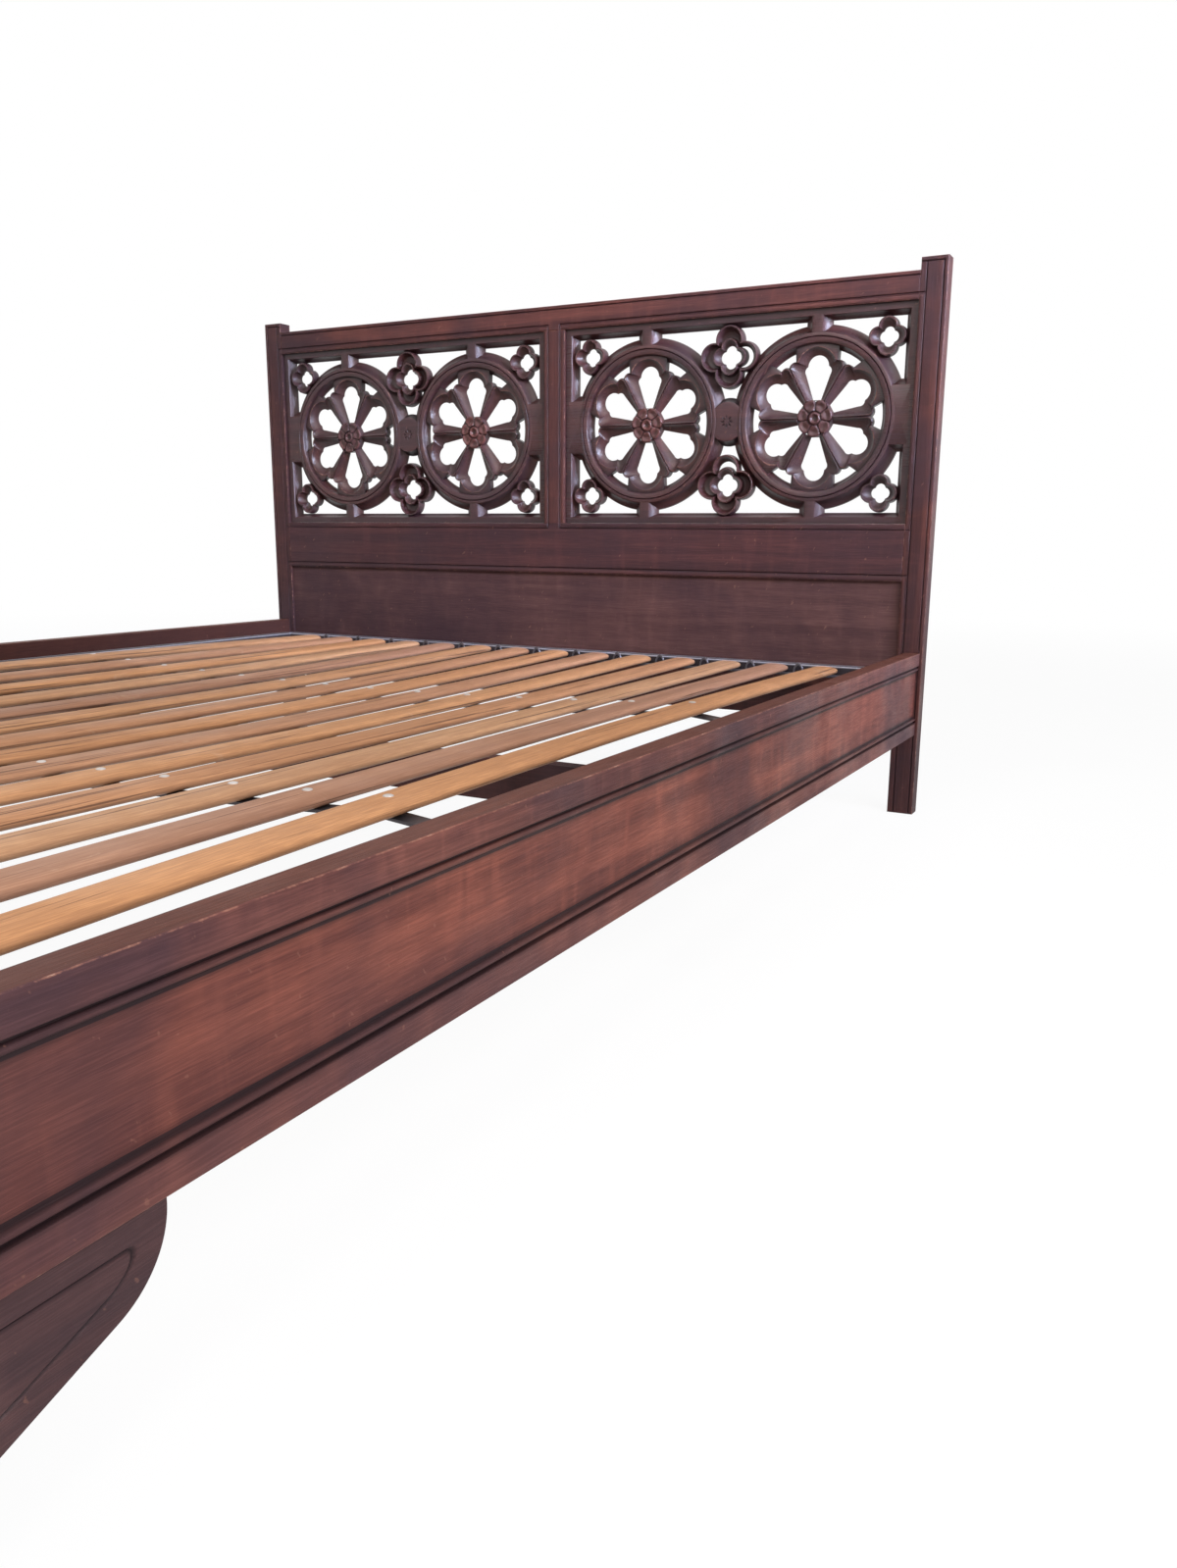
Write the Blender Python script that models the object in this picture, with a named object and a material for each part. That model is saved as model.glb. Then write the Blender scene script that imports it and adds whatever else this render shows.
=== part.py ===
"""Double bed: openwork headboard, moulded rails, bracketed foot legs and a drop-in slatted base.

Metres, +Z up. The bed stands on Z = 0 with the origin under its middle and its head towards +Y.
Depths in the headboard are counted back from its front face, so its pieces line up by named setbacks.
"""

import math

import bmesh
import bpy
from mathutils import Matrix, Vector
from mathutils.geometry import delaunay_2d_cdt

# Clearance kept between faces that touch on the real bed.
FIT = 0.0003

# Whole bed.
HEAD_WIDTH = 1.600
INNER_LENGTH = 1.990

# Headboard frame.
POST_WIDTH = 0.048
POST_DEPTH = 0.034
POST_HEIGHT = 1.008
TOP_RAIL_TOP = 0.987
TOP_RAIL_HEIGHT = 0.0485
MIDDLE_RAIL_TOP = 0.5475
MIDDLE_RAIL_HEIGHT = 0.1055
BOTTOM_RAIL_TOP = 0.2795
BOTTOM_RAIL_HEIGHT = 0.105
MUNTIN_WIDTH = 0.050
TENON_LENGTH = 0.020
TENON_THICKNESS = 0.012
TENON_SHOULDER = 0.002
MUNTIN_TENON = 0.020

# Grooves of the headboard frame and the boards that stand in them.
GROOVE_DEPTH = 0.008
GROOVE_WIDTH = 0.008
GROOVE_SETBACK = 0.012
PANEL_SETBACK = 0.0065
PANEL_THICKNESS = 0.0165
TRACERY_SETBACK = 0.007
TRACERY_THICKNESS = 0.021

# Openwork of one tracery board, drawn for a board of these half sizes and scaled to the one made.
OPENWORK_HALF_WIDTH = 0.3632
OPENWORK_HALF_HEIGHT = 0.1952
BORDER_SIDE = 0.0147
BORDER_END = 0.020
ROSE_INSET = 0.1867
ROSE_BAND_RADIUS = 0.170
ROSE_SUNK_RADIUS = 0.133
ROSE_SUNK_DEPTH = 0.009
TAB_WIDTH = 0.024
SIDE_TAB_HEIGHT = 0.105
BRIDGE_LAP = 0.0305
MID_FOIL_HEIGHT = 0.121
MID_LOBE_OFFSET = 0.031
MID_LOBE_RADIUS = 0.027
MID_EYE_OFFSET = 0.012
MID_EYE_RADIUS = 0.012
CORNER_FOIL_ASIDE = 0.1315
CORNER_FOIL_HEIGHT = 0.139
CORNER_LOBE_OFFSET = 0.017
CORNER_LOBE_RADIUS = 0.0165
CORNER_EYE_OFFSET = 0.007
CORNER_EYE_RADIUS = 0.0095

# One petal of a rose: the carved outline in front and the smaller one at the back.
PETALS = 6
HUB_RADIUS = 0.036
SPOKE_WIDTH = 0.004
SPOKE_REACH = 0.101
LOBE_CENTRE = 0.097
LOBE_RADIUS = 0.034
CUSP_ANGLE = 78.0
FOIL_SWELL = 0.005
BACK_TIP_RADIUS = 0.036
BACK_TIP_WIDTH = 0.006
BACK_LOBE_CENTRE = 0.086
BACK_LOBE_RADIUS = 0.026
BACK_LOBE_ANGLE = 118.0
PIERCING_OUT = 0.129
PIERCING_IN = 0.117
PIERCING_HALF_ANGLE = 9.0

# Rosette glued on the hub of each rose.
ROSETTE_RADIUS = 0.0345
ROSETTE_SCALLOP = 0.0022
ROSETTE_PETALS = 8
ROSETTE_EDGE = 0.002
ROSETTE_CROWN = 0.0045
ROSETTE_HEIGHT = 0.0055
ROSETTE_EYE_RADIUS = 0.0125
ROSETTE_DIMPLE_RADIUS = 0.006
ROSETTE_DIMPLE_DEPTH = 0.0025

# Side and foot rails: a board with an applied moulding along its upper and lower edges.
RAIL_SETBACK = 0.0047
RAIL_BOARD = 0.019
RAIL_TOP = 0.3105
RAIL_HEIGHT = 0.156
MOULDING_HEIGHT = 0.0365
MOULDING_PROUD = 0.0054
MOULDING_BEAD = 0.0105
BEAD_HALF_ANGLE = 60.0
MOULDING_EASE = 0.0025
FOOT_TENON = 0.018
FOOT_SHOULDER = 0.030

# Foot legs and the shaped brackets between them and the side rails.
LEG_WIDTH = 0.048
LEG_DEPTH = 0.034
LEG_ABOVE_RAIL = 0.0205
BRACKET_LENGTH = 0.196
BRACKET_RADIUS = 0.060
BRACKET_SLOPE = 20.0
BRACKET_NOSE = 0.005

# Bed irons: a hooked plate on each rail end and a slotted plate let into the post or leg.
IRON_THICKNESS = 0.003
HOOK_PLATE_LENGTH = 0.055
HOOK_PLATE_HEIGHT = 0.100
HOOK_RISE = 0.012
HOOK_LIP = 0.007
HOOK_LIP_THICKNESS = 0.005
HOOK_SPACING = 0.050
SLOT_PLATE_WIDTH = 0.018
SLOT_PLATE_HEIGHT = 0.110
SLOT_PLAY = 0.001

# Slatted base: outer size, steel frame, straps and lengthwise slats.
BASE_SIDE_GAP = 0.0369
BASE_END_GAP = 0.035
BASE_TOP = 0.2835
STEEL = 0.003
FLANGE = 0.028
WEB_HEIGHT = 0.034
LIP = 0.020
LIP_DROP = 0.0160
SLATS = 14
SLAT_WIDTH = 0.053
SLAT_THICKNESS = 0.0155
SLAT_FULLNESS = 2.2
SLAT_SIDE_GAP = 0.0465
SLAT_LEVEL_MARGIN = 0.004
STRAP_WIDTH = 0.025
HEAD_STRAP = 0.305
FOOT_STRAP = 0.390
SLAT_HANG = 0.014
SLAT_RISE = 0.009

# What the base rests on.
CLEAT_HEIGHT = 0.034
CLEAT_CLEARANCE = 0.005
CLEAT_END_MARGIN = 0.060
BEARER_THICKNESS = 0.024
BEARER_HEIGHT = 0.054
BEARER_BLOCK_LENGTH = 0.090
BEARER_BLOCK_DEPTH = 0.026
BEARER_BLOCK_HEIGHT = 0.030

# Places worked out from the sizes above.
HEAD_BACK = (POST_DEPTH + INNER_LENGTH + LEG_DEPTH) / 2
HEAD_FRONT = HEAD_BACK - POST_DEPTH
FOOT_INNER = HEAD_FRONT - INNER_LENGTH
FOOT_OUTER = FOOT_INNER - LEG_DEPTH
MIDDLE = (HEAD_FRONT + FOOT_INNER) / 2
HALF_WIDTH = HEAD_WIDTH / 2
POST_INNER = HALF_WIDTH - POST_WIDTH
LEG_INNER = HALF_WIDTH - LEG_WIDTH
TOP_RAIL_BOTTOM = TOP_RAIL_TOP - TOP_RAIL_HEIGHT
MIDDLE_RAIL_BOTTOM = MIDDLE_RAIL_TOP - MIDDLE_RAIL_HEIGHT
BOTTOM_RAIL_BOTTOM = BOTTOM_RAIL_TOP - BOTTOM_RAIL_HEIGHT
RAIL_FIELD = HALF_WIDTH - RAIL_SETBACK - MOULDING_PROUD
RAIL_INNER = RAIL_FIELD - RAIL_BOARD
RAIL_BOTTOM = RAIL_TOP - RAIL_HEIGHT
FOOT_FIELD = FOOT_OUTER + RAIL_SETBACK + MOULDING_PROUD
FOOT_RAIL_INNER = FOOT_FIELD + RAIL_BOARD
BASE_HALF_WIDTH = RAIL_INNER - BASE_SIDE_GAP
BASE_HEAD = HEAD_FRONT - BASE_END_GAP
BASE_FOOT = FOOT_INNER + BASE_END_GAP
BASE_MIDDLE = (BASE_HEAD + BASE_FOOT) / 2
BASE_BOTTOM = BASE_TOP - WEB_HEIGHT
LIP_TOP = BASE_TOP - LIP_DROP
SLAT_BOTTOM = LIP_TOP + FIT
SLAT_REACH = BASE_HALF_WIDTH - FLANGE - SLAT_SIDE_GAP - SLAT_WIDTH / 2
BEARER_TOP = BASE_BOTTOM - FIT
SAG = min(SLAT_HANG, SLAT_BOTTOM - FIT - BEARER_TOP)
SAG_HALF_WIDTH = BASE_HALF_WIDTH - FLANGE
SAG_HALF_LENGTH = (BASE_HEAD - BASE_FOOT) / 2 - FLANGE
CLEAT_TOP = BASE_TOP - STEEL - FIT
SIDES = {"left": -1, "right": 1}
ENDS = {"head": 1, "foot": -1}
STRAP_PLACES = {"head": HEAD_STRAP, "foot": FOOT_STRAP}

# Working allowances: how far a cutter runs past a face, and what counts as one point or one plane.
CUT_PAST = 0.002
MERGE = 1e-6
FLAT_ANGLE = math.radians(1.0)

# How many straight steps stand for each curve.
BAND_STEPS = 40
SUNK_STEPS = 36
BRIDGE_STEPS = 20
MID_FOIL_STEPS = 14
MID_EYE_STEPS = 10
CORNER_FOIL_STEPS = 10
CORNER_EYE_STEPS = 8
PETAL_HEAD_STEPS = 5
ROSETTE_STEPS_PER_PETAL = 4
EASE_STEPS = 3
BEAD_STEPS = 6
NOSE_STEPS = 10
SLAT_STEPS = 16

# Finishes: colours as linear red, green and blue, and how rough each surface is.
STAINED_COLOUR = (0.085, 0.032, 0.024)
ROSETTE_COLOUR = (0.115, 0.038, 0.026)
SLAT_COLOUR = (0.50, 0.27, 0.14)
STEEL_COLOUR = (0.33, 0.32, 0.36)
STAINED_ROUGHNESS = 0.45
SLAT_ROUGHNESS = 0.55
STEEL_ROUGHNESS = 0.5


def clear_scene():
    for obj in list(bpy.data.objects):
        bpy.data.objects.remove(obj, do_unlink=True)


def finish(name, colour, roughness, metallic=0.0):
    """A plain Principled finish."""
    material = bpy.data.materials.new(name)
    material.use_nodes = True
    shader = material.node_tree.nodes["Principled BSDF"]
    shader.inputs["Base Color"].default_value = (*colour, 1.0)
    shader.inputs["Roughness"].default_value = roughness
    shader.inputs["Metallic"].default_value = metallic
    material.diffuse_color = (*colour, 1.0)
    return material


def put(name, shape, material, place=(0.0, 0.0, 0.0)):
    """One named object from a bmesh, standing at its place."""
    bmesh.ops.recalc_face_normals(shape, faces=shape.faces)
    mesh = bpy.data.meshes.new(name)
    shape.to_mesh(mesh)
    shape.free()
    if material:
        mesh.materials.append(material)
    obj = bpy.data.objects.new(name, mesh)
    obj.location = place
    bpy.context.collection.objects.link(obj)
    return obj


def helper(name, shape, place=(0.0, 0.0, 0.0)):
    """A cutter or an addition that only a Boolean reads."""
    obj = put(name, shape, None, place)
    obj.hide_render = True
    obj.display_type = "WIRE"
    return obj


def combine(obj, other, operation="DIFFERENCE"):
    """Cuts the other shape from the object, or joins it on with UNION."""
    boolean = obj.modifiers.new(other.name, "BOOLEAN")
    boolean.operation = operation
    boolean.solver = "EXACT"
    boolean.object = other


def block(low, high, shape=None):
    """A box between two corners, added to a bmesh."""
    shape = shape or bmesh.new()
    low, high = Vector(low), Vector(high)
    scale = Matrix.Diagonal((high - low).to_4d())
    scale[3][3] = 1.0
    bmesh.ops.create_cube(shape, size=1.0, matrix=Matrix.Translation((low + high) / 2) @ scale)
    return shape


def box(name, low, high, material):
    """A named box whose origin is its own middle."""
    middle = (Vector(low) + Vector(high)) / 2
    return put(name, block(Vector(low) - middle, Vector(high) - middle), material, middle)


def loft(loops, shape=None):
    """A closed body through loops of equally many points, its first and last loop filled."""
    shape = shape or bmesh.new()
    rings = [[shape.verts.new(point) for point in loop] for loop in loops]
    for near, far in zip(rings, rings[1:]):
        for i in range(len(near)):
            j = (i + 1) % len(near)
            shape.faces.new((near[i], near[j], far[j], far[i]))
    shape.faces.new(rings[0])
    shape.faces.new(rings[-1])
    return shape


def arc(centre, radius, start, end, steps):
    """Points of a circle's arc, from one angle to another in degrees."""
    angles = [math.radians(start + (end - start) * i / steps) for i in range(steps + 1)]
    return [(centre[0] + radius * math.cos(a), centre[1] + radius * math.sin(a)) for a in angles]


def circle(centre, radius, steps):
    return arc(centre, radius, 0.0, 360.0, steps)[:-1]


def turned(points, degrees, scale):
    """Points turned about the origin and scaled from it."""
    spin = Matrix.Rotation(math.radians(degrees), 2) * scale
    return [tuple(spin @ Vector(point)) for point in points]


def tenon_box(low, high, along, tenon, clearance):
    """Corners of a tenon that runs through a headboard member and past both of its ends."""
    across = 2 - along
    near = HEAD_FRONT + (POST_DEPTH - TENON_THICKNESS) / 2
    shoulder = GROOVE_DEPTH + TENON_SHOULDER
    corner_low = [0.0, near + clearance, 0.0]
    corner_high = [0.0, near + TENON_THICKNESS - clearance, 0.0]
    corner_low[along] = low[along] - tenon + clearance
    corner_high[along] = high[along] + tenon - clearance
    corner_low[across] = low[across] + shoulder + clearance
    corner_high[across] = high[across] - shoulder - clearance
    return corner_low, corner_high


def frame_member(name, low, high, along, tenon, neighbours, material):
    """A headboard rail or muntin, tenoned at both ends of its long axis (0 for X, 2 for Z)."""
    member = box(name, low, high, material)
    tongue = helper(name + "_tenons", block(*tenon_box(low, high, along, tenon, FIT)))
    combine(member, tongue, "UNION")
    socket = helper(name + "_mortises", block(*tenon_box(low, high, along, tenon, 0.0)))
    for neighbour in neighbours:
        combine(neighbour, socket)
    return member


def opening_boxes():
    """Low and high corners (x, z) of the openings of the headboard frame, by name."""
    half_muntin = MUNTIN_WIDTH / 2
    return {
        "left_tracery": ((-POST_INNER, MIDDLE_RAIL_TOP), (-half_muntin, TOP_RAIL_BOTTOM)),
        "right_tracery": ((half_muntin, MIDDLE_RAIL_TOP), (POST_INNER, TOP_RAIL_BOTTOM)),
        "lower_panel": ((-POST_INNER, BOTTOM_RAIL_TOP), (POST_INNER, MIDDLE_RAIL_BOTTOM)),
    }


def groove_cutter(name, low, high):
    """The groove round an opening: the opening widened by the groove's depth."""
    near = HEAD_FRONT + GROOVE_SETBACK
    corner_low = (low[0] - GROOVE_DEPTH, near, low[1] - GROOVE_DEPTH)
    corner_high = (high[0] + GROOVE_DEPTH, near + GROOVE_WIDTH, high[1] + GROOVE_DEPTH)
    return helper(name + "_groove", block(corner_low, corner_high))


def add_tongue(board, low, high):
    """Joins onto a board the tongue, a flat ring, that stands in the groove of its opening."""
    near = HEAD_FRONT + GROOVE_SETBACK + FIT
    far = HEAD_FRONT + GROOVE_SETBACK + GROOVE_WIDTH - FIT
    tongue = bmesh.new()
    rings = []
    for grow, depth in ((1, near), (1, far), (-1, far), (-1, near)):
        reach = grow * (GROOVE_DEPTH - FIT)
        a = (low[0] - reach, low[1] - reach)
        b = (high[0] + reach, high[1] + reach)
        corners = (a, (b[0], a[1]), b, (a[0], b[1]))
        rings.append([tongue.verts.new((x, depth, z)) for x, z in corners])
    for first, second in zip(rings, rings[1:] + rings[:1]):
        for i in range(4):
            j = (i + 1) % 4
            tongue.faces.new((first[i], first[j], second[j], second[i]))
    combine(board, helper(board.name + "_tongue", tongue), "UNION")


def headboard_frame(wood):
    """Posts, rails and muntin, mortised together and grooved for their boards."""
    posts = {}
    for side, sign in SIDES.items():
        inner, outer = sorted((sign * POST_INNER, sign * HALF_WIDTH))
        name = f"head_{side}_post"
        posts[side] = box(name, (inner, HEAD_FRONT, 0.0), (outer, HEAD_BACK, POST_HEIGHT), wood)
    rails = {}
    for place, bottom, top in (
        ("top", TOP_RAIL_BOTTOM, TOP_RAIL_TOP),
        ("middle", MIDDLE_RAIL_BOTTOM, MIDDLE_RAIL_TOP),
        ("bottom", BOTTOM_RAIL_BOTTOM, BOTTOM_RAIL_TOP),
    ):
        low = (-POST_INNER + FIT, HEAD_FRONT, bottom)
        high = (POST_INNER - FIT, HEAD_BACK, top)
        rails[place] = frame_member(f"head_{place}_rail", low, high, 0, TENON_LENGTH, posts.values(), wood)
    low = (-MUNTIN_WIDTH / 2, HEAD_FRONT, MIDDLE_RAIL_TOP + FIT)
    high = (MUNTIN_WIDTH / 2, HEAD_BACK, TOP_RAIL_BOTTOM - FIT)
    held_by = (rails["top"], rails["middle"])
    muntin = frame_member("head_muntin", low, high, 2, MUNTIN_TENON, held_by, wood)
    cutters = {name: groove_cutter(name, *corners) for name, corners in opening_boxes().items()}
    grooved = {
        "left_tracery": (posts["left"], rails["top"], rails["middle"], muntin),
        "right_tracery": (posts["right"], rails["top"], rails["middle"], muntin),
        "lower_panel": (posts["left"], posts["right"], rails["middle"], rails["bottom"]),
    }
    for name, members in grooved.items():
        for member in members:
            combine(member, cutters[name])
    return posts


def lower_panel(wood):
    """The flat board below the middle rail, with a tongue all round."""
    low, high = opening_boxes()["lower_panel"]
    near = HEAD_FRONT + PANEL_SETBACK
    corner_low = (low[0] + FIT, near, low[1] + FIT)
    corner_high = (high[0] - FIT, near + PANEL_THICKNESS, high[1] - FIT)
    board = box("head_lower_panel", corner_low, corner_high, wood)
    add_tongue(board, low, high)


def quatrefoil(centre, offset, radius, steps):
    """Four overlapping circles and the middle between them, as closed outlines."""
    around = ((1, 0), (0, 1), (-1, 0), (0, -1))
    lobes = [circle((centre[0] + offset * x, centre[1] + offset * y), radius, steps) for x, y in around]
    return lobes + [circle(centre, offset, steps)]


def tracery_outlines(half_width, half_height):
    """Outlines of the pierced board: (kind, points), where kind is board, field, wood or eye."""
    corners = ((-1, -1), (1, -1), (1, 1), (-1, 1))
    field_u, field_v = half_width - BORDER_SIDE, half_height - BORDER_END
    tab_u, tab_v = half_width - BORDER_SIDE / 2, half_height - BORDER_END / 2
    shapes = [("board", [(half_width * x, half_height * y) for x, y in corners])]
    shapes.append(("field", [(field_u * x, field_v * y) for x, y in corners]))
    rose_offset = half_width - ROSE_INSET
    bridge = rose_offset - ROSE_BAND_RADIUS + BRIDGE_LAP
    shapes.append(("wood", circle((0.0, 0.0), bridge, BRIDGE_STEPS)))
    for sign in (-1, 1):
        rose = sign * rose_offset
        shapes.append(("wood", circle((rose, 0.0), ROSE_BAND_RADIUS, BAND_STEPS)))
        shapes.append(("wood", [(rose + TAB_WIDTH / 2 * x, tab_v * y) for x, y in corners]))
        near, far = sorted((rose, sign * tab_u))
        tab = SIDE_TAB_HEIGHT / 2
        shapes.append(("wood", [(near, -tab), (far, -tab), (far, tab), (near, tab)]))
        middle = (0.0, sign * MID_FOIL_HEIGHT)
        foil = quatrefoil(middle, MID_LOBE_OFFSET, MID_LOBE_RADIUS, MID_FOIL_STEPS)
        eye = quatrefoil(middle, MID_EYE_OFFSET, MID_EYE_RADIUS, MID_EYE_STEPS)
        shapes += [("wood", loop) for loop in foil] + [("eye", loop) for loop in eye]
        for up in (-1, 1):
            middle = (rose + sign * CORNER_FOIL_ASIDE, up * CORNER_FOIL_HEIGHT)
            foil = quatrefoil(middle, CORNER_LOBE_OFFSET, CORNER_LOBE_RADIUS, CORNER_FOIL_STEPS)
            eye = quatrefoil(middle, CORNER_EYE_OFFSET, CORNER_EYE_RADIUS, CORNER_EYE_STEPS)
            shapes += [("wood", loop) for loop in foil] + [("eye", loop) for loop in eye]
    return shapes


def pierced_board(half_width, half_height, scale):
    """The board with its openwork: outlines laid over each other, the wood kept and extruded."""
    shapes = tracery_outlines(half_width / scale, half_height / scale)
    points, loops = [], []
    for _, outline in shapes:
        loops.append(list(range(len(points), len(points) + len(outline))))
        points += [Vector(point) * scale for point in outline]
    flat_points, _, cells, _, _, sources = delaunay_2d_cdt(points, [], loops, 1, MERGE)
    shape = bmesh.new()
    verts = [shape.verts.new((point[0], 0.0, point[1])) for point in flat_points]
    for cell, origin in zip(cells, sources):
        kinds = {shapes[i][0] for i in origin}
        if "eye" not in kinds and ("wood" in kinds or "field" not in kinds):
            shape.faces.new([verts[i] for i in cell])
    spare = [vert for vert in shape.verts if not vert.link_faces]
    bmesh.ops.delete(shape, geom=spare, context="VERTS")
    bmesh.ops.dissolve_limit(shape, angle_limit=FLAT_ANGLE, verts=shape.verts, edges=shape.edges)
    grown = bmesh.ops.extrude_face_region(shape, geom=shape.faces[:], use_keep_orig=True)
    moved = [item for item in grown["geom"] if isinstance(item, bmesh.types.BMVert)]
    bmesh.ops.translate(shape, verts=moved, vec=(0.0, TRACERY_THICKNESS, 0.0))
    return shape


def both_sides(upper):
    """A closed outline from its upper half, whose last point lies on the X axis."""
    return upper + [Vector((point.x, -point.y)) for point in reversed(upper[:-1])]


def front_petal():
    """A petal's front outline along +X: straight beside its spokes, then a trefoil head."""
    half = math.radians(180.0 / PETALS)
    along, aside = Vector((math.cos(half), math.sin(half))), Vector((math.sin(half), -math.cos(half)))
    start = HUB_RADIUS * along + SPOKE_WIDTH / 2 * aside
    end = SPOKE_REACH * along + SPOKE_WIDTH / 2 * aside
    curve = arc((LOBE_CENTRE, 0.0), LOBE_RADIUS, CUSP_ANGLE, 0.0, PETAL_HEAD_STEPS)
    head = [Vector(point) for point in curve]
    run = head[0] - end
    swell = (end + head[0]) / 2 + Vector((-run.y, run.x)).normalized() * FOIL_SWELL
    return both_sides([start, end, swell] + head)


def back_petal():
    """The same petal at the board's back, with as many points: a drop with its tip at the hub."""
    tip = Vector((BACK_TIP_RADIUS, BACK_TIP_WIDTH / 2))
    steps = PETAL_HEAD_STEPS + 2
    curve = arc((BACK_LOBE_CENTRE, 0.0), BACK_LOBE_RADIUS, BACK_LOBE_ANGLE, 0.0, steps)
    return both_sides([tip] + [Vector(point) for point in curve])


def sunk_disc(scale):
    """Cutter for the flat sinking inside a rose's rim, from in front of the board to its floor."""
    disc = circle((0.0, 0.0), ROSE_SUNK_RADIUS * scale, SUNK_STEPS)
    return loft([[(x, depth, z) for x, z in disc] for depth in (-CUT_PAST, ROSE_SUNK_DEPTH)])


def rose_piercings(scale):
    """Cutter for a rose's petals, tapering towards the back, and the small eyes at its rim."""
    near, far = ROSE_SUNK_DEPTH - CUT_PAST, TRACERY_THICKNESS + CUT_PAST
    spread = math.radians(PIERCING_HALF_ANGLE)
    rim = Vector((math.cos(spread), math.sin(spread))) * PIERCING_OUT
    wedge = [(PIERCING_IN, 0.0), (rim.x, -rim.y), (rim.x, rim.y)]
    shape = bmesh.new()
    turn = 360.0 / PETALS
    for i in range(PETALS):
        angle = 90.0 + i * turn
        front, back = (turned(outline, angle, scale) for outline in (front_petal(), back_petal()))
        eye = turned(wedge, angle + turn / 2, scale)
        for first, last in ((front, back), (eye, eye)):
            ends = ((first, near), (last, far))
            loft([[(x, depth, z) for x, z in loop] for loop, depth in ends], shape)
    return shape


def rosette(scale):
    """The carved boss on a rose's hub: scalloped petals round a dimpled eye, facing the front."""
    steps = ROSETTE_PETALS * ROSETTE_STEPS_PER_PETAL
    rings = (
        (ROSETTE_RADIUS, ROSETTE_SCALLOP, 0.0),
        (ROSETTE_RADIUS, ROSETTE_SCALLOP, ROSETTE_EDGE),
        ((ROSETTE_RADIUS + ROSETTE_EYE_RADIUS) / 2, ROSETTE_SCALLOP / 2, ROSETTE_CROWN),
        (ROSETTE_EYE_RADIUS, 0.0, ROSETTE_EDGE),
        (ROSETTE_EYE_RADIUS, 0.0, ROSETTE_HEIGHT),
        (ROSETTE_DIMPLE_RADIUS, 0.0, ROSETTE_HEIGHT),
        (ROSETTE_DIMPLE_RADIUS / 2, 0.0, ROSETTE_HEIGHT - ROSETTE_DIMPLE_DEPTH),
    )
    loops = []
    for radius, scallop, height in rings:
        loop = []
        for i in range(steps):
            angle = 2 * math.pi * i / steps
            reach = scale * (radius + scallop * math.cos(ROSETTE_PETALS * angle))
            loop.append((reach * math.cos(angle), -height, reach * math.sin(angle)))
        loops.append(loop)
    return loft(loops)


def tracery_board(side, wood, boss_wood):
    """One pierced board with two sunk roses and the rosettes on their hubs."""
    low, high = opening_boxes()[f"{side}_tracery"]
    middle_x, middle_z = (low[0] + high[0]) / 2, (low[1] + high[1]) / 2
    half_width, half_height = (high[0] - low[0]) / 2 - FIT, (high[1] - low[1]) / 2 - FIT
    scale = min(half_width / OPENWORK_HALF_WIDTH, half_height / OPENWORK_HALF_HEIGHT)
    front = HEAD_FRONT + TRACERY_SETBACK
    name = f"{side}_tracery_board"
    shape = pierced_board(half_width, half_height, scale)
    board = put(name, shape, wood, (middle_x, front, middle_z))
    add_tongue(board, low, high)
    for where, sign in SIDES.items():
        place = (middle_x + sign * (half_width - scale * ROSE_INSET), front, middle_z)
        combine(board, helper(f"{name}_{where}_sinking", sunk_disc(scale), place))
        combine(board, helper(f"{name}_{where}_petals", rose_piercings(scale), place))
        seat = (place[0], front + ROSE_SUNK_DEPTH - FIT, middle_z)
        put(f"{side}_board_{where}_rosette", rosette(scale), boss_wood, seat)


def moulding_profile():
    """Section of the applied moulding: (proud, down from its outer edge), band first and then bead."""
    band = MOULDING_HEIGHT - MOULDING_BEAD
    radius = MOULDING_BEAD / 2
    eased = arc((MOULDING_PROUD - MOULDING_EASE, MOULDING_EASE), MOULDING_EASE, -90.0, 0.0, EASE_STEPS)
    bead = arc((0.0, band + radius), radius, -BEAD_HALF_ANGLE, BEAD_HALF_ANGLE, BEAD_STEPS)
    return [(FIT, 0.0)] + eased + [(MOULDING_PROUD, band)] + bead + [(FIT, MOULDING_HEIGHT)]


def moulding(name, start, end, outward, edge, into, wood):
    """The moulding along a rail's field from start to end (x, y); into is -1 below its outer edge."""
    loops = []
    for x, y in (start, end):
        section = moulding_profile()
        loops.append([(x + p * outward[0], y + p * outward[1], edge + into * h) for p, h in section])
    put(name, loft(loops), wood)


def rail_mouldings(name, start, end, outward, wood):
    moulding(name + "_upper_moulding", start, end, outward, RAIL_TOP, -1, wood)
    moulding(name + "_lower_moulding", start, end, outward, RAIL_BOTTOM, 1, wood)


def side_rail(side, wood):
    sign = SIDES[side]
    inner, outer = sorted((sign * RAIL_INNER, sign * RAIL_FIELD))
    foot, head = FOOT_INNER + FIT, HEAD_FRONT - FIT
    board = box(f"{side}_rail_board", (inner, foot, RAIL_BOTTOM), (outer, head, RAIL_TOP), wood)
    rail_mouldings(f"{side}_rail", (sign * RAIL_FIELD, foot), (sign * RAIL_FIELD, head), (sign, 0), wood)
    return board


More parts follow.
